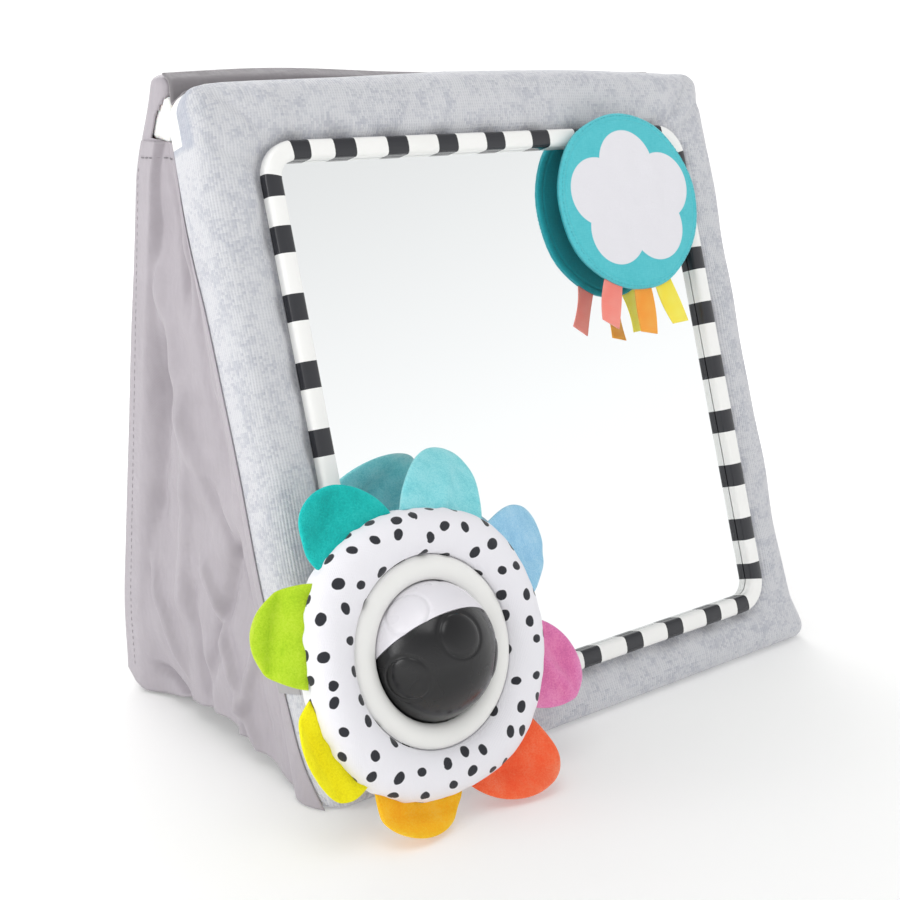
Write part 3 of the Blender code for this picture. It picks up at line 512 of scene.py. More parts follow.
def blossom(uv, ground):
    """One pale screen print: a five-lobed blossom of overlapping discs."""
    lobe_radius, reach_up, middle = 15.5 * MM, 16.5 * MM, 0.5 * MM
    reach_across = reach_up * 1.22
    nearest = uv.vector("DISTANCE", (middle, middle, 0), "Value")
    for k in range(5):
        angle = TAU * (k / 5 + 0.25)
        spot = (middle + reach_across * math.cos(angle), middle + reach_up * math.sin(angle), 0)
        nearest = nearest.math("MINIMUM", uv.vector("DISTANCE", spot, "Value"))
    return mixed(ramp(nearest, lobe_radius, lobe_radius + 0.35 * MM, 1.0, 0.0), ground, "E2E1E6")


def cotton(name, base, light, printed=False):
    """Plain-woven cotton poplin: matt, with threads drawn 0.7 mm apart and slightly uneven dye."""
    look = Finish(name, base, 0.86, Sheen_Weight=0.15)
    uv, pitch = look.uv, 0.7 * MM
    weave = mottle(scaled(uv, 0.15, 1), pitch * 0.7, 1.0) + mottle(scaled(uv, 1, 0.15), pitch * 0.7, 1.0)
    tone = weave * 0.35 + mottle(uv, 16 * MM) * 0.3
    ground = mixed(ramp(tone, 0.35, 0.65), base, light)
    return look.done(weave * 0.5, 0.16 * MM, blossom(uv, ground) if printed else ground)


def satin(name, base, light):
    """Single-face satin ribbon: soft gloss along the weft, ribs drawn 0.6 mm apart, and thin enough
    that light comes through it."""
    look = Finish(name, base, 0.42, Subsurface_Weight=0.6, Subsurface_Scale=0.004,
                  Subsurface_Radius=(1, 1, 1))
    uv = look.uv
    shade = mixed(ramp(mottle(uv, 12 * MM, 1.0), 0.3, 0.7), base, light)
    return look.done(mottle(scaled(uv, 0.08, 1), 0.5 * MM, 1.0), 0.08 * MM, shade)


def thread(name, base):
    """Twisted polyester sewing thread."""
    look = Finish(name, base, 0.6)
    inputs = {"Vector": look.place, "Scale": 1 / (1.2 * MM)}
    return look.done(add(look.tree, "TexWave", inputs, "Fac", wave_type="BANDS"), 0.05 * MM)


def dressed(obj, material, body, *nodes, padding=None):
    """Gives a finished piece its material and body, and hides the nodes that it stands for."""
    obj.data.materials.append(material)
    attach(obj, body)
    if nodes:
        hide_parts(*nodes)
    return obj


# Front panel

CREASES_FRONT = (
    # From x, s to x, s, then width and depth, all in millimetres: the pulls at the corners
    (114, 262, 140, 287, 2.2, -2.0),
    (104, 264, 122, 287, 2.8, 1.1),
    (119, 256, 141, 274, 2.4, -1.4),
    (-112, 262, -134, 285, 2.4, -1.3),
    (-102, 265, -116, 286, 2.8, 0.8),
    (-119, 250, -141, 264, 2.4, -1.1),
    (116, 26, 140, 8, 3.0, -1.1),
    (104, 22, 120, 4, 3.2, 0.9),
    (-116, 26, -140, 8, 3.0, -1.1),
)


def front_outline():
    """The panel's section in (s, o), anticlockwise from the toe: floor, heel, rear, top, front, sill."""
    floor = lambda o: -o * math.tan(LEAN)
    toe = np.array([floor(5.3 * MM), 5.3 * MM])
    heel = np.array([floor(-THICKNESS), -THICKNESS])
    corners = (
        (toe, 7 * MM, 24),
        (heel, 14 * MM, 90),
        (np.array([HEIGHT, -THICKNESS]), 9 * MM, 14),
        (np.array([HEIGHT, 0.0]), 8 * MM, 190),
        (np.array([22 * MM, 0.0]), 26 * MM, 12),
    )
    arcs = []
    for k, (spot, radius, _) in enumerate(corners):
        before = corners[k - 1][0] - spot
        after = corners[(k + 1) % len(corners)][0] - spot
        before, after = unit(before), unit(after)
        half = math.acos(float(before @ after)) / 2
        middle = spot + unit(before + after) * radius / math.sin(half)
        start, end = spot + before * radius / math.tan(half), spot + after * radius / math.tan(half)
        first, last = np.arctan2(*(start - middle)[::-1]), np.arctan2(*(end - middle)[::-1])
        sweep = (last - first + math.pi) % TAU - math.pi
        angle = first + sweep * np.linspace(0, 1, 9)
        arcs.append(middle + radius * stacked(np.cos(angle), np.sin(angle)))
    runs = []
    for k, (_, _, steps) in enumerate(corners):
        start, end = arcs[k][-1], arcs[(k + 1) % len(corners)][0]
        runs += [arcs[k], start + (end - start) * np.linspace(0, 1, steps + 1)[1:-1, None]]
    outline = np.concatenate(runs)
    return join(outline, outline[:1])


# The cover's round edge at its sides, and how far its crest stands above the panel's top along X
COVER_ROUND = 5.5 * MM
CREST_PLACES = np.array([-143.5, -140, -137, -132, -125, -110, -65, -12, 30, 65, 113, 134, 143.5]) * MM
CREST_RISES = np.array([-8.0, -5.4, -3.6, -2.1, -1.4, -0.9, 0.2, 2.2, 2.5, 2.4, 0.9, -0.2, -1.8]) * MM


def near_side(x, width):
    """0 in the middle of a panel, rising to 1 at its sides over the last width."""
    return smooth((np.abs(x) - (HALF_WIDTH - width)) / width)


def side_swell(s, o):
    """How far the front panel's sides swell out: half a sine over the depth, and a little uneven."""
    deep = np.sin(math.pi * np.clip((o + THICKNESS) / THICKNESS, 0, 1))
    return 1.0 * MM * deep + 0.5 * MM * waves(s, o, 70 * MM, 8)


def foot_corner(side, s, o):
    """How far the panel's lower corners stand out: the right one is an ear, the left one's toe is round."""
    low = smooth((46 * MM - s) / (46 * MM)) ** 2
    toe = smooth((o + 18 * MM) / (20 * MM))
    return np.where(side > 0, 3.2 * MM * low, -(0.6 + 6.5 * toe) * MM * low)


def front_cover():
    """The knit cover over its foam: the section carried across X, rounded over and closed at its ends.

    On the front face it stands out as a sine from the frame to the edge, sinks as a bell against the
    frame, creases at the corners and drops behind the mirror inside the frame. Its crest droops at
    the left and arches in the middle, its top corners are pinched out as a bell, and it lies flat
    where the page's tab is sewn on. UV is the cloth's own place: X on the front and depth on the
    sides, height on the front and depth on the top.
    """
    outline = front_outline()
    ahead = np.roll(outline[:-1], -1, 0) - np.roll(outline[:-1], 1, 0)
    normal = unit(stacked(ahead[:, 1], -ahead[:, 0]))
    if ((outline[:-1] - outline[:-1].mean(0)) * normal).sum() < 0:
        normal = -normal
    normal = join(normal, normal[:1])
    radius = COVER_ROUND
    turn = np.linspace(0, math.pi / 2, 9)
    close = np.linspace(0, 1, 8)[1:]
    end_x = join(HALF_WIDTH - radius + radius * np.sin(turn), HALF_WIDTH + 0 * close)
    end_in = join(radius * (1 - np.cos(turn)), radius + 0 * close)
    end_close = join(0 * turn, close)
    flat = np.linspace(-(HALF_WIDTH - radius), HALF_WIDTH - radius, 196)[1:-1]
    x = join(-end_x[::-1], flat, end_x)[:, None]
    inset = join(end_in[::-1], 0 * flat, end_in)[:, None, None]
    closed = join(end_close[::-1], 0 * flat, end_close)[:, None, None]
    middle = stacked(np.clip(outline[:, 0], 14 * MM, HEIGHT - 12 * MM), 0 * outline[:, 0] - THICKNESS / 2)
    section = (outline[None] - normal[None] * inset) * (1 - closed) + middle[None] * closed
    s, o = section[..., 0], section[..., 1]
    x = np.broadcast_to(x, s.shape)
    side = np.sign(x) * near_side(x, 12 * MM)
    depth = np.clip(-o, 0, None)
    uv = stacked(x + side * depth, s + smooth((s - (HEIGHT - 10 * MM)) / (10 * MM)) * depth)
    away = frame_distance(x, s)
    edge = np.minimum(HALF_WIDTH - np.abs(x), HEIGHT - s)
    share = np.clip(away / np.maximum(away + np.maximum(edge, 0), 1 * MM), 0, 1)
    front = smooth((o + 7 * MM) / (6.5 * MM)) * smooth((s - 2 * MM) / (14 * MM))
    low = smooth((40 * MM - s) / (30 * MM))
    puff = 2.6 * MM * np.sin(math.pi * share**0.8) * (1 - 0.3 * low)
    puff = puff - 2.0 * MM * bell(away / (3.2 * MM)) * (away > -SKIRT_SET_IN)
    puff = puff + folds(x, s, in_mm(CREASES_FRONT)) * smooth(away / (5 * MM))
    puff = puff + 0.7 * MM * waves(x, s, 46 * MM, 3) * smooth(away / (8 * MM))
    puff = puff + 0.6 * MM * waves(x, s, 21 * MM, 4) * bell((away - 4 * MM) / (5 * MM))
    puff = puff * (1 - 0.9 * bell((x - PAGE_PLACE[0]) / (16 * MM)) * bell((s - 268 * MM) / (8 * MM)))
    inside = smooth((-away - 4.6 * MM) / (0.5 * MM))
    o_new = o + front * (puff * (1 - inside) - 7.6 * MM * inside)
    ends = near_side(x, 9 * MM)
    out_x = np.sign(x) * ends * side_swell(s, o)
    ear = foot_corner(np.sign(x), s, o) * np.sign(x) * smooth((np.abs(x) - 0.08) / 0.06)
    crest = np.interp(x, CREST_PLACES, CREST_RISES) * smooth((s - (HEIGHT - 25 * MM)) / (23 * MM))
    pinch = 1.6 * MM * bell(np.hypot(np.abs(x) - HALF_WIDTH, s - HEIGHT) / (8 * MM))
    pinch = pinch * smooth((o + 12 * MM) / (10 * MM))
    points = on_panel(x + out_x + ear + np.sign(x) * pinch, s + crest + pinch, o_new)
    points[..., 2] = np.maximum(points[..., 2], 0.3 * MM)
    return piece("front_cover_knit", points, uv)


def rear_lining(woven):
    """The woven cloth on the front panel's rear: a flat sheet that swells between its sewn edges."""
    half, low, high = 131.5 * MM, 26 * MM, 271 * MM
    x, s = np.meshgrid(np.linspace(-half, half, 60), np.linspace(low, high, 60), indexing="ij")
    edge = np.minimum(half - np.abs(x), np.minimum(s - low, high - s))
    swell = smooth(edge / (22 * MM))
    o = -THICKNESS - 0.9 * MM - swell * (0.5 * MM + 0.25 * MM * waves(x, s, 60 * MM, 12))
    lining = piece("front_lining_cloth", on_panel(x, s, o), stacked(x, s), outward=False)
    thickened(lining, 0.6 * MM, 0.0)
    dressed(lining, woven, "front", "front_lining")


# Back panel

BACK_FOLDS = (
    # From x, u to x, u, then width and depth, in millimetres: slack in the sleeve on the boards
    (-120, -30, -60, -120, 14, 1.0),
    (20, -20, 90, -160, 16, -1.2),
    (-90, -150, 10, -240, 15, 1.1),
    (100, -60, 60, -230, 12, 0.9),
)


def sleeve_arch(x):
    """How far the sleeve's top edge arches up: mostly on the left."""
    return (3.0 * bell((x + 0.088) / 0.056) + 0.6 * bell((x - 0.02) / 0.09)) * MM


def foot_tuck(rise):
    """How far the sleeve's sides are drawn in near its foot, where the gussets pull."""
    return 3.4 * MM * smooth((62 * MM - rise) / (62 * MM)) ** 1.5


def top_tuck(u):
    """How far the sleeve's sides are drawn in near its open top corners."""
    return 4 * MM * smooth((u + 38 * MM) / (38 * MM))


def back_cover():
    """The woven sleeve of the back panel: front and rear faces on shared heights, round top and foot.

    The section runs up the front face, round the top, down the rear and round the foot. Past each
    end it shrinks to the panel's middle plane, so that the sides are closed. The top arches near the
    left, the lower sides are tucked in, the foot's rear corners are rounded up, and a notch with a
    slanted top near each top corner shows the foam.
    """
    foot = -HINGE[2] / math.cos(BACK_LEAN)
    top = BACK_RISE - 5.5 * MM
    low = foot + 9 * MM
    u = join(np.linspace(low, top - 26 * MM, 92), np.linspace(top - 26 * MM, top, 35)[1:])
    bow = BACK_BOW * 4 * (u - foot) * (BACK_RISE - u) / (BACK_RISE - foot) ** 2
    front = -BACK_CLEAR + 0 * u
    rear = -BACK_CLEAR - BACK_THICKNESS - bow
    angle = np.linspace(0, math.pi, 13)[1:-1]
    half_top = (front[-1] - rear[-1]) / 2
    top_u = top + 5.5 * MM * np.sin(angle) ** 0.7
    top_o = (front[-1] + rear[-1]) / 2 + half_top * np.cos(angle)
    half_foot = (front[0] - rear[0]) / 2
    foot_o = (front[0] + rear[0]) / 2 - half_foot * np.cos(angle)
    foot_u = low - (low - foot) * np.sin(angle) ** 0.45
    mid = (front + rear) / 2
    section = np.stack(
        [join(u, top_u, u[::-1], foot_u, u[:1]),
         join(front, top_o, rear[::-1], foot_o, front[:1])], -1)
    middle = np.stack(
        [join(u, top + 0 * top_u, u[::-1], low + 0 * foot_u, u[:1]),
         join(mid, mid[-1] + 0 * top_o, mid[::-1], mid[0] + 0 * foot_o, mid[:1])], -1)
    radius = 4.5 * MM
    turn = np.linspace(0, 1, 6)
    flat = np.linspace(-(HALF_WIDTH - radius), HALF_WIDTH - radius, 120)[1:-1]
    round_x = HALF_WIDTH - radius + radius * np.sin(turn * math.pi / 2)
    round_in = 0.62 * (1 - np.cos(turn * math.pi / 2))
    close = np.linspace(0, 1, 6)[1:]
    end_x = join(round_x, HALF_WIDTH + 0 * close)
    end_in = join(round_in, 0.62 + 0.38 * close)
    x = join(-end_x[::-1], flat, end_x)
    inward = join(end_in[::-1], 0 * flat, end_in)[:, None, None]
    places = section[None] * (1 - inward) + middle[None] * inward
    u, o = places[..., 0], places[..., 1]
    x = np.broadcast_to(x[:, None], u.shape)
    rear_share = smooth((mid.mean() - o) / (4 * MM))
    give = folds(x, u, in_mm(BACK_FOLDS)) + 0.5 * MM * waves(x, u, 80 * MM, 21)
    o = o - give * rear_share * smooth((HALF_WIDTH - np.abs(x)) / (20 * MM))
    side = np.sign(x) * near_side(x, 5 * MM)
    tuck = foot_tuck(u - foot) + top_tuck(u)
    outer = smooth((-BACK_CLEAR - 2 * MM - o) / (9 * MM)) * near_side(x, 15 * MM)
    u = u + 9 * MM * outer * smooth((foot + 26 * MM - u) / (26 * MM))
    uv = stacked(x - side * o, u)
    arch = sleeve_arch(x) * smooth((u + 14 * MM) / (14 * MM))
    points = on_back(x + side * 0.4 * MM * waves(u, o, 90 * MM, 5) - x / HALF_WIDTH * tuck, u + arch, o)
    points[..., 2] = np.maximum(points[..., 2], 0.3 * MM)
    centre_u = (u[:-1, :-1] + u[1:, 1:]) / 2
    centre_x = (x[:-1, :-1] + x[1:, 1:]) / 2
    centre_o = (o[:-1, :-1] + o[1:, 1:]) / 2
    slit = -3.6 * MM + 1.7 * (centre_o + BACK_CLEAR)
    gap = (centre_u > -20.5 * MM) & (centre_u < slit) & (centre_o > -5.7 * MM)
    gap &= np.abs(centre_x) > HALF_WIDTH - 12 * MM
    cover = piece("back_cover_cloth", points, uv, keep=~gap)
    return thickened(cover, 0.8 * MM)


def foam_corner(side, label, white_foam):
    """Foam that swells out of the sleeve's open corner and against the front panel: a rounded wedge."""
    corners = np.array([(-10.5, -23.5), (9.0, -21), (6.0, -13), (1.8, -3.5), (-3, -2.2), (-10.5, -5)]) * MM
    centre = corners.mean(0)
    turn = circle(65)
    ray = stacked(np.cos(turn), np.sin(turn))
    reach = np.full(len(turn), 1.0)
    for a, b in zip(corners, np.roll(corners, -1, 0)):
        across = np.array([(b - a)[1], -(b - a)[0]]) / np.hypot(*(b - a))
        gap = (a - centre) @ across
        facing = ray @ across * np.sign(gap)
        reach = np.minimum(reach, np.where(facing > 0.05, abs(gap) / np.maximum(facing, 0.05), 1.0))
    reach = np.convolve(join(reach[-3:-1], reach, reach[1:3]), np.ones(5) / 5, "valid")
    rows = np.linspace(0, math.pi, 17)[:, None]
    swell = np.sin(rows) ** 0.22
    places = centre + ray[None] * (reach[None, :] * swell)[..., None]
    tuck = top_tuck(places[..., 1]) * (1 - np.cos(rows)) / 2
    x = HALF_WIDTH - 15.6 * MM + 14.6 * MM * -np.cos(rows) - tuck
    points = on_back(side * x, places[..., 1], places[..., 0])
    wedge = piece(f"back_foam_{label}_corner", points)
    dressed(wedge, white_foam, "back", padding=0.6)
    face = on_back(0, 0, -9 * MM)
    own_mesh(wedge)


def back_foam(white_foam):
    """The foam pad inside the sleeve: a rounded slab, which shows at the gaps near its top corners."""
    foot = -HINGE[2] / math.cos(BACK_LEAN)
    u = np.linspace(foot + 16 * MM, BACK_RISE - 3 * MM, 60)
    turn = circle(33)
    round_x = squared(np.cos(turn), 0.12)
    round_o = squared(np.sin(turn), 0.3)
    share = (u - foot) / (BACK_RISE - foot)
    half = 3.6 * MM + 2 * BACK_BOW * share * (1 - share)
    mid = -BACK_CLEAR - BACK_THICKNESS / 2 - 2 * BACK_BOW * share * (1 - share)
    x = (HALF_WIDTH - 6.5 * MM) * round_x
    o = mid[:, None] + half[:, None] * round_o
    pad = piece("back_foam_pad", on_back(x, u[:, None], o), flat_ends=True)
    dressed(pad, white_foam, "back", "back_foam", padding=0.9)


# Gussets

GUSSET_FOLDS = (
    # From y, z to y, z, then width and depth, in millimetres: the slack side's standing folds
    (128, 70, 111, 24, 2.7, 4.1),
    (87, 78, 71, 46, 2.6, 3.5),
    (71, 46, 50, 8, 2.9, 4.1),
    (138, 16, 112, 7, 2.6, -4.6),
    (33, 30, 16, 6, 2.9, -4.1),
    (82, 112, 42, 60, 3, -3),
    (102, 250, 88, 190, 2.4, -3.2),
    (118, 236, 134, 120, 4.8, 3.2),
    (112, 206, 88, 118, 4.8, 3.5),
    (106, 176, 122, 92, 4.4, -3.5),
    (92, 150, 106, 56, 4.4, 3),
    (62, 92, 86, 26, 3.5, -3),
    (46, 56, 64, 8, 2.9, 3),
    (100, 64, 90, 12, 3.5, -3.5),
    (110, 245, 122, 214, 3.2, -2.2),
    (124, 100, 138, 40, 3.2, -2.4),
)


def panel_rear(z):
    """How far back the front panel's flat rear face reaches at a height."""
    return -SETBACK + THICKNESS / math.cos(LEAN) + z * math.tan(LEAN)


# How far the gusset laps onto the front panel's side at each height, and its hem's rise along it
LAP_HEIGHTS = np.array([0, 2.5, 26, 41, 71, 101, 142, 189, 236, 252]) * MM
LAPS = np.array([19, 18.2, 13.5, 10.6, 9.3, 8.5, 8, 7, 2.9, 2.2]) * MM
HEM_SHARES = np.array([0, 0.06, 0.15, 0.2, 0.3, 0.4, 0.475, 0.56, 0.656, 0.74, 0.82, 0.9, 0.95, 1])
HEM_RISES = np.array([0.7, 1, 3, 5.3, 6.6, 8.2, 10.8, 10.4, 8.7, 5.4, 2.4, 1.4, 3.4, 8.5]) * MM


def gusset(side, label, woven, hem_thread, seam_thread):
    """A thin woven side between the panels: rows of constant rise from its wavy hem to its top.

    It laps onto the front panel's side, more so near the foot, follows its round rear edge and ends
    on the back panel's side. Between them its depth is a crease near the front panel, a belly and
    the standing folds, all of which fade towards the panels. A row of stitches runs along its top
    hem and one along its rear seam.
    """
    rise = np.linspace(0, 1, 230)[:, None]
    share = np.linspace(0, 1, 170)[None, :]
    hem = np.interp(share, HEM_SHARES, HEM_RISES)
    z = hem + (250 * MM - hem) * rise
    inner = panel_rear(z)
    outer = HINGE[1] - (z - HINGE[2]) * math.tan(BACK_LEAN) + BACK_CLEAR
    front_y, back_y = inner - np.interp(z, LAP_HEIGHTS, LAPS), outer + 10.5 * MM
    y = front_y + (back_y - front_y) * share
    s = (y + SETBACK) * math.sin(LEAN) + z * math.cos(LEAN)
    o = z * math.sin(LEAN) - (y + SETBACK) * math.cos(LEAN)
    turned = np.clip((-o - THICKNESS + COVER_ROUND) / COVER_ROUND, 0, 0.9)
    lapped = 0.55 * MM + side_swell(s, o) + foot_corner(side, s, o)
    lapped = lapped - COVER_ROUND * (1 - np.sqrt(1 - turned**2))
    between = (y - inner) / (outer - inner)
    room = np.clip((outer - inner) / (36 * MM), 0.1, 1)
    fade = smooth(between * 6) * smooth((1 - between) * 6)
    crease = (1.4 * MM + 2.4 * MM * smooth((z - 140 * MM) / (80 * MM))) * bell((between - 0.15) / 0.07)
    belly = 2.4 * MM * np.sin(math.pi * np.clip(between, 0, 1))
    lie = y if side < 0 else y + 7 * MM
    stand = folds(lie, z, in_mm(GUSSET_FOLDS)) + 1.5 * MM * waves(y, z, 62 * MM, 30 + side)
    stand = stand + 0.5 * MM * waves(y, z, 24 * MM, 34 + side)
    free = -2.6 * MM - fade * room * (crease + belly - 1.1 * stand)
    apart = smooth((-o - THICKNESS + 4 * MM) / (9 * MM))
    near_back = smooth((1 - between) * 8)
    tuck = foot_tuck(z) + 4 * MM * smooth((z - HINGE[2] + 37 * MM) / (37 * MM))
    out = lapped * (1 - apart) + apart * (free * near_back + 1.1 * MM * (1 - near_back))
    out = out - tuck * smooth(between)
    points = stacked(np.broadcast_to(side * (HALF_WIDTH + out), y.shape), y, z)
    cloth = piece(f"gusset_{label}_cloth", points, stacked(y, z), outward=False)
    thickened(cloth, 0.5 * MM, 0.0)
    cloth.data.materials.append(woven)
    rows = (
        (f"gusset_{label}_hem_stitches", points[-7, 4:-12], 0.32, 0.42, hem_thread),
        (f"gusset_{label}_seam_stitches", points[8:-8, -9], 0.14, 0.27, seam_thread),
    )
    for name, line, radius, rise_off, fibre in rows:
        row = stitches(name, line, line * 0 + [side, 0, 0], 2.3 * MM, 3.3 * MM, radius * MM, 0.1 * MM)
        row.data.materials.append(fibre)
        row.data.transform(Matrix.Translation((side * rise_off * MM, 0, 0)))
        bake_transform(row)
    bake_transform(cloth)
    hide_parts(f"gusset_{label}")
    wide, narrow = (back_y - front_y)[0].mean(), (back_y - front_y)[-1].mean()
    tall = 0.252
    area = (wide + narrow) / 2 * tall
    wide * 1.03


def top_strip(woven):
    """The woven strip over the hinge, from the front panel's crest down into the joint and up to the
    back panel's top: straight runs, rounded, that sag more towards the ends."""
    v = np.linspace(0, 1, 60)[None, :]
    x = np.linspace(-138 * MM, 138 * MM, 150)[:, None]
    crest = np.interp(x, CREST_PLACES, CREST_RISES)
    start = on_panel(x, HEIGHT + 0.7 * MM + crest, -13 * MM)
    knee = on_panel(x, HEIGHT - 1.0 * MM + crest, -THICKNESS - 0.2 * MM)
    end = on_back(x, BACK_RISE - 1.2 * MM + sleeve_arch(x), -BACK_CLEAR + 0.9 * MM)
    last = on_back(x, BACK_RISE + 0.9 * MM + sleeve_arch(x), -BACK_CLEAR - 5 * MM)
    knots = np.stack([start, knee, (knee + end) / 2, end, last], 2)
    knots[:, :, 2, 2] -= smooth((np.abs(x) - 0.08) / 0.06) * 2.2 * MM + 1.2 * MM
    weights = [np.clip(1.35 - np.abs(v * 4 - k), 0, None)[..., None] ** 2 for k in range(5)]
    points = sum(knots[:, :, k] * weight for k, weight in enumerate(weights)) / sum(weights)
    along = np.linspace(0, 26 * MM, 60)[None, :]
    strip_cloth = piece("top_strip_cloth", points, stacked(x, along), outward=False)
    thickened(strip_cloth, 0.7 * MM, 0.0)
    strip_cloth.data.materials.append(woven)
    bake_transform(strip_cloth)
    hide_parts("hinge_tape")


# Mirror unit

def striped_frame(abs_plastic):
    """The frame's section, a face with two round edges over a skirt, carried round its path.

    U is the length along each side from its middle, so that the bars start from there.
    """
    path, out = rectangle_path(FRAME_HALF_X, FRAME_HALF_S, FRAME_CORNER, FRAME_CENTRE, 14)
    extra = []
    for k in range(len(path) - 1):
        gap = float(np.hypot(*(path[k + 1] - path[k])))
        steps = max(1, int(gap / (4 * MM)))
        t = np.linspace(0, 1, steps + 1)[:-1, None]
        extra.append((path[k] + (path[k + 1] - path[k]) * t, out[k] + (out[k + 1] - out[k]) * t))
    path = np.concatenate([e[0] for e in extra] + [path[:1]])
    out = unit(np.concatenate([e[1] for e in extra] + [out[:1]]))
    across, upright = np.abs(path[:, 0]), np.abs(path[:, 1] - FRAME_CENTRE)
    along = np.where(np.abs(out[:, 0]) > np.abs(out[:, 1]), upright, across)
    edge, inner_edge, crown = 2.2 * MM, 2.0 * MM, FRAME_PROUD
    angle = np.linspace(0, math.pi / 2, 8)
    outer = stacked(-edge + edge * np.cos(angle), crown - edge + edge * np.sin(angle))
    face = stacked(-np.linspace(edge, FRAME_FACE - inner_edge, 6)[1:-1], crown + 0 * np.arange(4))
    face[:, 1] += 0.18 * MM
    inner = stacked(inner_edge - FRAME_FACE - inner_edge * np.sin(angle),
                    crown - inner_edge + inner_edge * np.cos(angle))
    low, skirt, wall = 0.3 * MM, -6 * MM, 3 * MM
    under = np.array([
        (-FRAME_FACE, low), (-SKIRT_SET_IN - wall, low), (-SKIRT_SET_IN - wall, skirt),
        (-SKIRT_SET_IN, skirt), (-SKIRT_SET_IN, low), (0, low)])
    profile = join(outer, face, inner, under)
    profile = join(profile, profile[:1])
    a, b = profile[:, 0], profile[:, 1]
    x = path[:, :1] + out[:, :1] * a
    s = path[:, 1:] + out[:, 1:] * a
    points = on_panel(x, s, b)
    uv = stacked(along[:, None], a[None, :])
    bars = piece("striped_frame", points, uv, sharp=math.radians(40))
    dressed(bars, abs_plastic, "front", "mirror_frame")


# Flower

def ring_cushion(jersey):
    """The stuffed ring: its section, seam to crown to bezel, carried round, with sewn puckers.

    Outside the crown the section is r = a cos t, z = b sin t to the power 0.78; inside it falls to
    the bezel's rim and passes under its flange. It is a little square, as r falls by cos of four
    times the angle. UV is the flat cut's place, at its length along the section from the crown.
    """
    crown = (RING_RADIUS + BEZEL_RADIUS) / 2
    t = np.linspace(0, math.pi / 2, 22)
    rim_r, rim_z = np.array([(35.5, 4.0), (33.5, 3.9), (32.2, 2.6)]).T * MM
    r = join(crown + (RING_RADIUS - crown) * np.cos(t), crown - (crown - 36.9 * MM) * np.sin(t[1:]), rim_r)
    z = join(RING_HALF * np.sin(t) ** 0.78, 4.0 * MM + 6.0 * MM * np.cos(t[1:]) ** 0.7, rim_z)
    z[0] = 0
    length = join([0], np.cumsum(np.hypot(np.diff(r), np.diff(z))))
    flat = crown + length[21] - length
    flat = join(flat, flat[::-1], flat[:1])
    r, z = join(r, r[::-1], r[:1]), join(z, -z[::-1], z[:1])
    turn = circle(289)[:, None]
    seam = bell(z / (3.2 * MM)) * (r > crown)
    outer = np.clip((r - crown) / (RING_RADIUS - crown), 0, 1)
    pucker = np.cos(31 * turn) + 0.7 * np.sin(47 * turn + 1.0)
    swell = (0.45 * np.sin(3 * turn + 0.6) - 1.1 * np.cos(4 * turn) + 0.3 * np.sin(7 * turn + 2.1)) * MM
    radius = r + outer * swell + 0.3 * MM * seam * pucker - 0.7 * MM * bell(z / (0.7 * MM)) * (r > crown)
    lift = (0.3 * MM * np.sin(4 * turn + 1.3) + 0.16 * MM * pucker * outer) * z / RING_HALF
    x, y = polar(radius, turn)
    uv = stacked(*polar(flat, turn))
    cushion = piece("flower_ring_cloth", on_flower(x, y, z + lift), uv)
    dressed(cushion, jersey, "flower", "flower_front", "flower_back", "flower_filling", padding=0.8)


PETALS = (
    # Name, pile, its shade and its light, swing in degrees, then length, width, bend and lean in mm
    ("lime", "B3D424", "99C212", "CDE04C", 0, 14.7, 38.3, -10.1, 0.7),
    ("teal_green", "06B6B0", "049C99", "38CEC8", 0.2, 18.2, 38.3, -7.6, 0.4),
    ("turquoise", "8ADCE3", "64C6D1", "B8EEF4", -1.8, 27, 39.5, -19, -10.8),
    ("blue", "97CCEB", "76B4DB", "C5E3F6", 2.2, 31, 36.5, -17, -4),
    ("pink", "E07CB0", "CA619B", "F5AFCE", 0.8, 22.5, 35.6, 1.5, -4.1),
    ("red", "FF6C40", "FA5428", "FF9670", 4.1, 20, 39, 8, 7),
    ("orange", "FFBB18", "FBA606", "FFD058", 2.5, 12.3, 40.9, 6.3, -2.3),
    ("yellow", "F2E600", "E0D200", "FCF330", 1.4, 11, 40.3, 2.2, 5),
)
PETAL_FOLDS = (
    # In each petal: the fold's turn in degrees, its place along that turn, width and height in mm
    (0, 7.5, 2.8, -2.8), (25, 9, 4.5, -2.4), (82, 1, 4, 3.2), (70, -4, 3.5, -1.8),
    (62, 2, 3.5, 3.0), (-55, 6, 4.5, -2.4), (10, 5, 4, -1.4), (-12, 5, 3, -1.8),
)


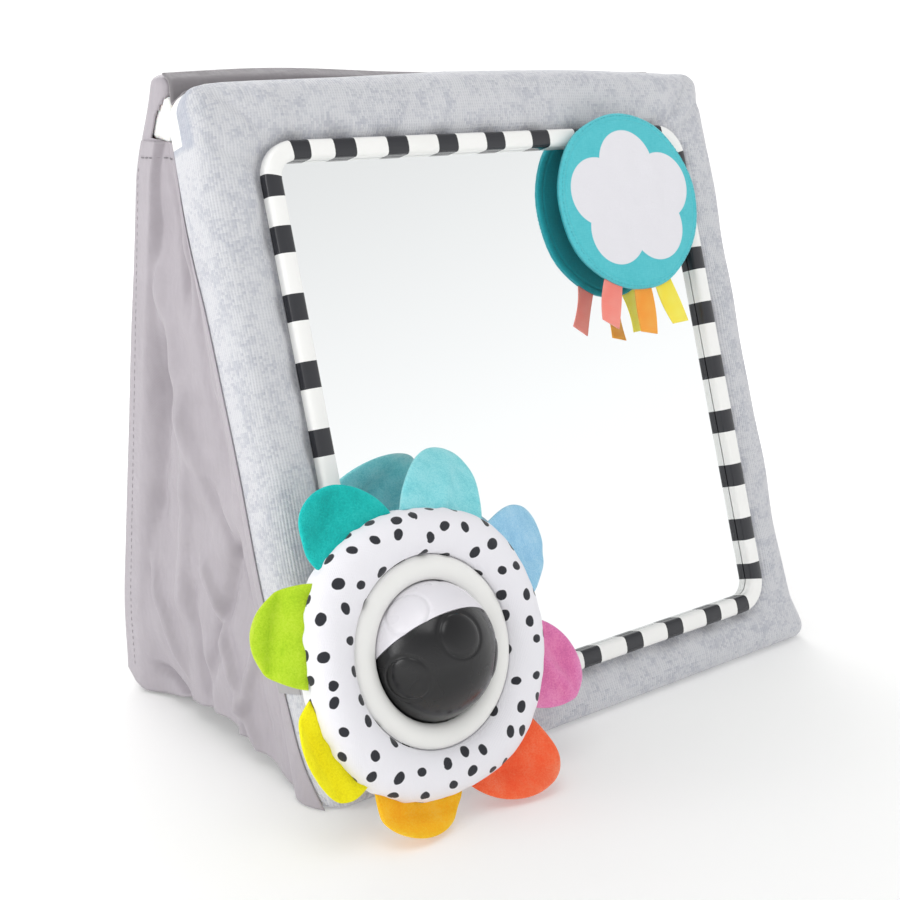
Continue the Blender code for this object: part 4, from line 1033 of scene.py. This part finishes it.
def petal(index, name, length, width, bend, lean, swing):
    """A turned-out velour petal: two plies with a rolled seam, dished between its edges.

    Half width is (1 - share^2.1)^(1/2.1); the section is a flat lens; bend and lean grow as
    share^1.5, and the dish is a parabola across times a sine along. One soft fold, a bell across its
    line, crosses each petal.
    """
    rows, around = 44, 49
    share = np.sin(np.linspace(0, math.pi / 2, rows))[:, None]
    turn = circle(around)[None, :]
    root = RING_RADIUS + 0.5 * MM
    half = width / 2 * np.clip(1 - share**2.1, 0, 1) ** (1 / 2.1)
    across = np.cos(turn)
    y = half * across
    base = np.sqrt(root**2 - y**2) - 2.2 * MM
    x = base + (root + length - base) * share
    ply = 1.9 * MM * squared(np.sin(turn), 0.55)
    ply = ply * np.minimum(1, 0.25 + 2.2 * (1 - share)) * (0.75 + 0.25 * np.sin(math.pi * share))
    ply = ply * np.where(half > 0, 1, 0)
    dish = -2.6 * MM * (1 - across**2) * np.sin(math.pi * np.clip(share * 1.05, 0, 1))
    curl = share**1.5
    turned, place, wide, high = PETAL_FOLDS[index]
    cast = (x - root) * math.cos(math.radians(turned)) + y * math.sin(math.radians(turned))
    soft = 0.45 * MM * waves(x, y, 22 * MM, 60 + index)
    along = np.sin(math.pi * np.clip(share * 0.9 + 0.1, 0, 1))
    soft = soft + high * MM * bell((cast - place * MM) / (wide * MM)) * along
    z = bend * curl + ply + dish + soft
    y = y + lean * curl
    angle = PETAL_FIRST - PETAL_TURN * index + swing
    return on_flower(*rotated(x, y, angle), z)


def bezel(side, label, plastic):
    """A bezel: a softly domed ring with a rolled mouth and rim, turned about the ball's centre."""
    mouth, rim = BEZEL_MOUTH, BEZEL_RADIUS
    t = np.linspace(-1, 1, 25)
    r = (mouth + rim) / 2 + t * (rim - mouth) / 2
    z = BEZEL_FACE + 0.9 * MM - 1.7 * MM * t**2 - 0.7 * MM * t**8
    under = BEZEL_FACE - 2.2 * MM
    collar_out, collar_in, foot = 30.6 * MM, 28.6 * MM, 0.15 * MM
    r = join(r, [rim - 0.4 * MM, collar_out, collar_out, collar_in, collar_in, mouth + 0.6 * MM, r[0]])
    z = join(z, [under, under, foot, foot, under, under, z[0]])
    turn = circle(193)[:, None]
    points = on_flower(*polar(r, turn), side * z)
    ring = piece(f"bezel_{label}_ring", points, sharp=math.radians(50))
    dressed(ring, plastic, "flower", f"bezel_{label}")


BALL_WINDOWS = {
    # The directions of each half's round windows in the flower: across, up and out
    "black": ((-0.049, 0.257, 0.965), (-0.797, -0.2, 0.57), (0.79, -0.3, 0.53), (0.0, -0.95, -0.3),
              (0.55, 0.35, -0.75)),
    "white": ((-0.548, 0.688, 0.476), (0.6, 0.78, 0.15), (-0.6, 0.3, -0.74), (0.3, 0.6, -0.74)),
}


def ball_half(side, label, plastic):
    """Half of the ball: rings of latitude from its seam to its pole, closed by a disc at the seam.

    Each round window stands a little proud inside a fine groove, which is a bell of the angle from
    the window's middle.
    """
    rise = np.radians(np.linspace(0.4, 90, 190))[:, None]
    around = circle(385)[None, :]
    direction = stacked(*polar(np.cos(rise), around), np.sin(rise))
    roll = BALL_ROLL + (0 if side > 0 else math.pi)
    radius = np.full(direction.shape[:2], BALL_RADIUS - 0.25 * MM)
    window = math.radians(18.8)
    for across, up, out in BALL_WINDOWS[label]:
        centre = unit(np.array([across, *rotated(up, out, -roll)]))
        angle = np.arccos(np.clip(direction @ centre, -1, 1))
        radius = radius + 0.3 * MM * smooth((window - angle) / 0.12)
        radius = radius - 0.42 * MM * bell((angle - window) / 0.026)
    points = direction * radius[..., None]
    points = join(points[:1] * np.array([0, 0, 1.0]), points)
    x, y, z = points[..., 0], points[..., 1], points[..., 2]
    points = on_flower(x, *rotated(y, z, roll))
    half = piece(f"ball_{label}_shell", points, sharp=math.radians(60))
    dressed(half, plastic, "ball", f"ball_{label}_half")


# Crinkle page

def page_disc(side, label, cloth):
    """One cloth face of the page: a crowned disc to its rolled edge seam, with a line of topstitching.

    The crown falls as the square of the radius; a groove lies 2.4 mm inside the edge; the crinkle
    film shows as low uneven facets.
    """
    r = join(np.linspace(0, 36, 30), np.linspace(36.4, 41, 18)) * MM
    turn = circle(193)[:, None]
    out = 2.3 * MM - 0.7 * MM * (r / PAGE_RADIUS) ** 2
    out = out * np.sqrt(np.clip(1 - (np.clip((r - 38.4 * MM) / (2.6 * MM), 0, 1)) ** 2.4, 0, 1)) + 0.15 * MM
    out = out - 0.35 * MM * bell((r - 38.0 * MM) / (0.5 * MM))
    x, y = polar(r, turn)
    soft = waves(x, y, 16 * MM, 80 + side) * np.clip(1 - r / (38 * MM), 0, 1) * 0.3 * MM
    pucker = 0.16 * MM * np.cos(52 * turn) * bell((r - 39 * MM) / (1.5 * MM))
    edge = 1 + (0.006 * np.cos(5 * turn + 0.5) + 0.004 * np.sin(9 * turn)) * (r / PAGE_RADIUS) ** 4
    x, y = x * edge, y * edge
    z = side * (out + soft + pucker)
    flat = np.concatenate([z, np.full((len(turn), 2), side * 0.15 * MM)], 1)
    inner = np.array([38.0 * MM, 0.0])
    x = np.concatenate([x, inner * np.cos(turn)], 1)
    y = np.concatenate([y, inner * np.sin(turn)], 1)
    disc = piece(f"page_{label}_cloth", on_page(x, y, flat), stacked(x, y))
    nodes = ("page_front", "page_film") if side > 0 else ("page_back",)
    dressed(disc, cloth, "page", *nodes, padding=0.3)


RIBBONS = (
    # Name, satin, its light, place on the lower edge, width and length in mm, lean in degrees, curl in mm
    ("pink", "FF7468", "FF8F82", -18.5, 10.5, 18, -21, 2.0),
    ("orange", "FF8A14", "FFA236", -1.3, 10, 19, -1, -1.0),
    ("yellow", "FFDA22", "FFE84E", 11.7, 10, 19, 15, 1.6),
)


def ribbon(at, width, length, lean, curl):
    """A ribbon tag: a strip that leaves the page's edge, curls as a parabola and ends on a slant.

    Width is along the rows and length along the columns; the front and back plies are 0.6 mm apart.
    """
    angle = -math.pi / 2 + math.asin(at / PAGE_RADIUS)
    root = PAGE_RADIUS - 1.2 * MM
    v = np.linspace(0, 1, 24)[:, None]
    turn = circle(25)[None, :]
    u = squared(np.cos(turn), 0.12)
    ply = 0.35 * MM * squared(np.sin(turn), 0.3)
    x = u * width / 2 * (1 - 0.05 * v)
    drop = v * (length + 1.2 * MM + 2.2 * MM * (u + 1) / 2)
    z = curl * (v**2 - 0.25 * v) + 0.8 * MM * np.sin(math.pi * v) * u + ply
    across, down = rotated(x, -drop, lean)
    points = on_page(root * math.cos(angle) + across, root * math.sin(angle) + down, z)
    return points, stacked(x, drop)


def webbing_strip(name, middle, width, place, material, body, flat_length):
    """A strap: a thickened middle line in two directions, carried across its width, with eased edges."""
    thickness = 1.2 * MM
    middle = np.array(middle)
    step = join([0], np.cumsum(np.hypot(*np.diff(middle, axis=0).T)))
    fine = np.linspace(0, step[-1], 40)
    line = np.stack([np.interp(fine, step, middle[:, k]) for k in range(2)], -1)
    line[1:-1] = (line[:-2] + line[1:-1] + line[2:]) / 3
    ahead = unit(np.gradient(line, axis=0))
    out = stacked(-ahead[:, 1], ahead[:, 0])
    turn = circle(33)[None, :]
    side = squared(np.cos(turn), 0.15) * width / 2
    rise = squared(np.sin(turn), 0.3) * thickness / 2
    a = line[:, 0, None] + out[:, 0, None] * rise
    b = line[:, 1, None] + out[:, 1, None] * rise
    uv = stacked(fine[:, None], side)
    obj = piece(f"{name}_webbing", place(a, b, side), uv, flat_ends=True)
    dressed(obj, material, body, name)


def page_rim(material):
    """The stitches that close the page's edge: fine short dashes round it, just inside its rim."""
    turn = circle(361)
    r = 39.6 * MM
    path = on_page(*polar(r, turn), 1.62 * MM)
    outward = on_page(*polar(0.5, turn), 0.87) - on_page(0, 0, 0)
    rim = stitches("page_edge_stitches", path, outward, 1.3 * MM, 1.9 * MM, 0.14 * MM, 0.08 * MM)
    dressed(rim, material, "page")


# Make the object

woven = woven_polyester("grey_woven_polyester", "A39DA3", "AEA8AE")
webbing = woven_polyester("grey_webbing", "9A989A", "A6A4A6", 0.8)
white_foam = foam()
hem_thread = thread("dark_grey_thread", "7F7C80")
seam_thread = thread("pale_grey_thread", "A29EA2")

COVER = front_cover()
dressed(COVER, heather_knit(), "front", "front_cover", "front_foam", padding=0.9)
rear_lining(woven)

SLEEVE = back_cover()
dressed(SLEEVE, woven, "back", "back_cover", padding=0.7)
back_foam(white_foam)
for side, label in ((-1, "left"), (1, "right")):
    foam_corner(side, label, white_foam)
    gusset(side, label, woven, hem_thread, seam_thread)
top_strip(woven_polyester("shaded_woven_polyester", "837F82", "8E8A8D"))

striped_frame(striped_abs())
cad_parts["mirror_sheet"].data.materials.clear()
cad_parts["mirror_sheet"].data.materials.append(mirrored_acrylic())

ring_cushion(dotted_jersey())
for index, (name, base, deep, light, swing, length, width, bend, lean) in enumerate(PETALS):
    shape = petal(index, name, length * MM, width * MM, bend * MM, lean * MM, math.radians(swing))
    pile = velour(f"{name}_velour", base, deep, light)
    dressed(piece(f"petal_{name}_velour", shape), pile, "flower", f"petal_{name}", padding=0.3)

bezel_white = moulded("white_abs_satin", "EDEDEA", 0.4)
for side, label in ((1, "front"), (-1, "back")):
    bezel(side, label, bezel_white)
ball_half(1, "black", moulded("black_polypropylene", "111113", 0.25))
ball_half(-1, "white", moulded("white_polypropylene", "E6E4E9", 0.3))

page_disc(1, "front", cotton("printed_turquoise_cotton", "46B9C3", "5AC5CE", printed=True))
page_disc(-1, "back", cotton("teal_cotton", "119FAB", "22B0BB"))
for name, base, light, at, width, length, lean, curl in RIBBONS:
    points, uv = ribbon(at * MM, width * MM, length * MM, math.radians(lean), curl * MM)
    tag = piece(f"ribbon_{name}_satin", points, uv, flat_ends=True)
    dressed(tag, satin(f"{name}_satin", base, light), "page", f"ribbon_{name}")
    width * MM
    (length + 2.3) * MM

page_rim(thread("teal_thread", "43AAB4"))

side_place = lambda a, b, w: on_panel(-HALF_WIDTH + a, FLOWER_PLACE[1] + w, b)
tab_place = lambda a, b, w: on_panel(PAGE_PLACE[0] + w, a, b)
OUT = -0.9 * MM
TAB_S = HEIGHT - 26.4 * MM
STRAPS = (
    # Node, middle line, width and place, body, flat length, and the piece that it is sewn to
    ("strap_anchor", [(OUT, -17 * MM), (OUT, -1.2 * MM)], 16, side_place, "front", 15.8, COVER),
    ("flower_strap", [(OUT, -0.6 * MM), (OUT, 20.3 * MM), (9 * MM, 21 * MM)], 16, side_place, "flower", 30,
     "flower_ring_cloth"),
    ("page_anchor", [(TAB_S + 1.2 * MM, -6.2 * MM), (TAB_S, 3.9 * MM)], 18, tab_place, "front", 10, COVER),
    ("page_tab", [(TAB_S, 4.4 * MM), (TAB_S - 1 * MM, 7.9 * MM), (TAB_S - 10 * MM, 7.9 * MM)], 18,
     tab_place, "page", 12.5, "page_back_cloth"),
)
for name, middle, width, place, body, length, under in STRAPS:
    webbing_strip(name, middle, width * MM, place, webbing, body, length * MM)

# Room, lights and camera

# Painted light: the floor glows at 0.21 within 0.28 m of the middle, rising to 0.42 past 0.6 m. This keeps
# the far floor white and leaves it darker round the object as painted shade.
stage_white = Finish("pale_floor", "E3E3E2", 0.9, Emission_Color=(1, 1, 1, 1))
spread = stage_white.place.vector("LENGTH", output="Value")
run = np.linspace(-3.0, 4.2, 120)[:, None]
rise = np.where(run > 2.4, 3.0 * (1 - np.cos(np.clip((run - 2.4) / 1.8, 0, 1) * math.pi / 2)), 0)
across = np.linspace(-5, 5, 3)[None, :]
floor = piece("pale_floor", stacked(across, run, rise), outward=False)
floor.data.materials.append(stage_white.done(Emission_Strength=ramp(spread, 0.28, 0.6, 0.21, 0.42)))
floor.data.transform(Matrix.Rotation(CAMERA_AZIMUTH, 4, "Z"))

world = bpy.data.worlds.new("soft_studio")
bpy.context.scene.world = world
world.use_nodes = True
sky = add(world.node_tree, "TexCoord", output="Generated").part("Z")
sky = add(world.node_tree, "ValToRGB", {"Fac": sky}, "Color")
grade = sky.socket.node.color_ramp.elements
# Height of the direction, and how bright the room is there
STEPS = ((0.0, 1.0), (0.16, 0.99), (0.21, 0.96), (0.295, 0.88), (0.39, 0.785), (0.7, 0.545), (1.0, 0.455))
while len(grade) < len(STEPS):
    grade.new(0.5)
for element, (height, bright) in zip(grade, STEPS):
    element.position = height
    element.color = (bright, bright, bright * 1.003, 1)
background = world.node_tree.nodes["Background"].inputs
fill(background["Color"], sky)
fill(background["Strength"], 1.13)


def soft_light(name, place, target, size, power):
    data = bpy.data.lights.new(name, "AREA")
    data.shape = "RECTANGLE"
    data.size, data.size_y = size
    data.energy = power
    lamp = bpy.data.objects.new(name, data)
    aim = Vector(target) - Vector(place)
    lamp.matrix_world = Matrix.Translation(place) @ aim.to_track_quat("-Z", "Y").to_matrix().to_4x4()
    bpy.context.scene.collection.objects.link(lamp)


soft_light("side_left", (-1.65, 0.35, 0.7), (0, 0, 0.12), (0.9, 0.9), 8.5)
soft_light("key_above", (-0.5, -0.4, 1.6), (0, 0, 0.1), (0.9, 0.9), 5)
soft_light("rear_above", (0.45, 1.35, 1.3), (0, 0, 0.05), (1.3, 1.3), 15)

camera_data = bpy.data.cameras.new("photograph_view")
camera_data.lens = CAMERA_LENS
camera_data.sensor_width = 36
camera = bpy.data.objects.new("photograph_view", camera_data)
camera.location = CAMERA_PLACE
camera.rotation_euler = (math.pi / 2 - CAMERA_ELEVATION, 0, CAMERA_AZIMUTH)
bpy.context.scene.collection.objects.link(camera)
bpy.context.scene.camera = camera
bpy.context.scene.view_settings.view_transform = "Standard"
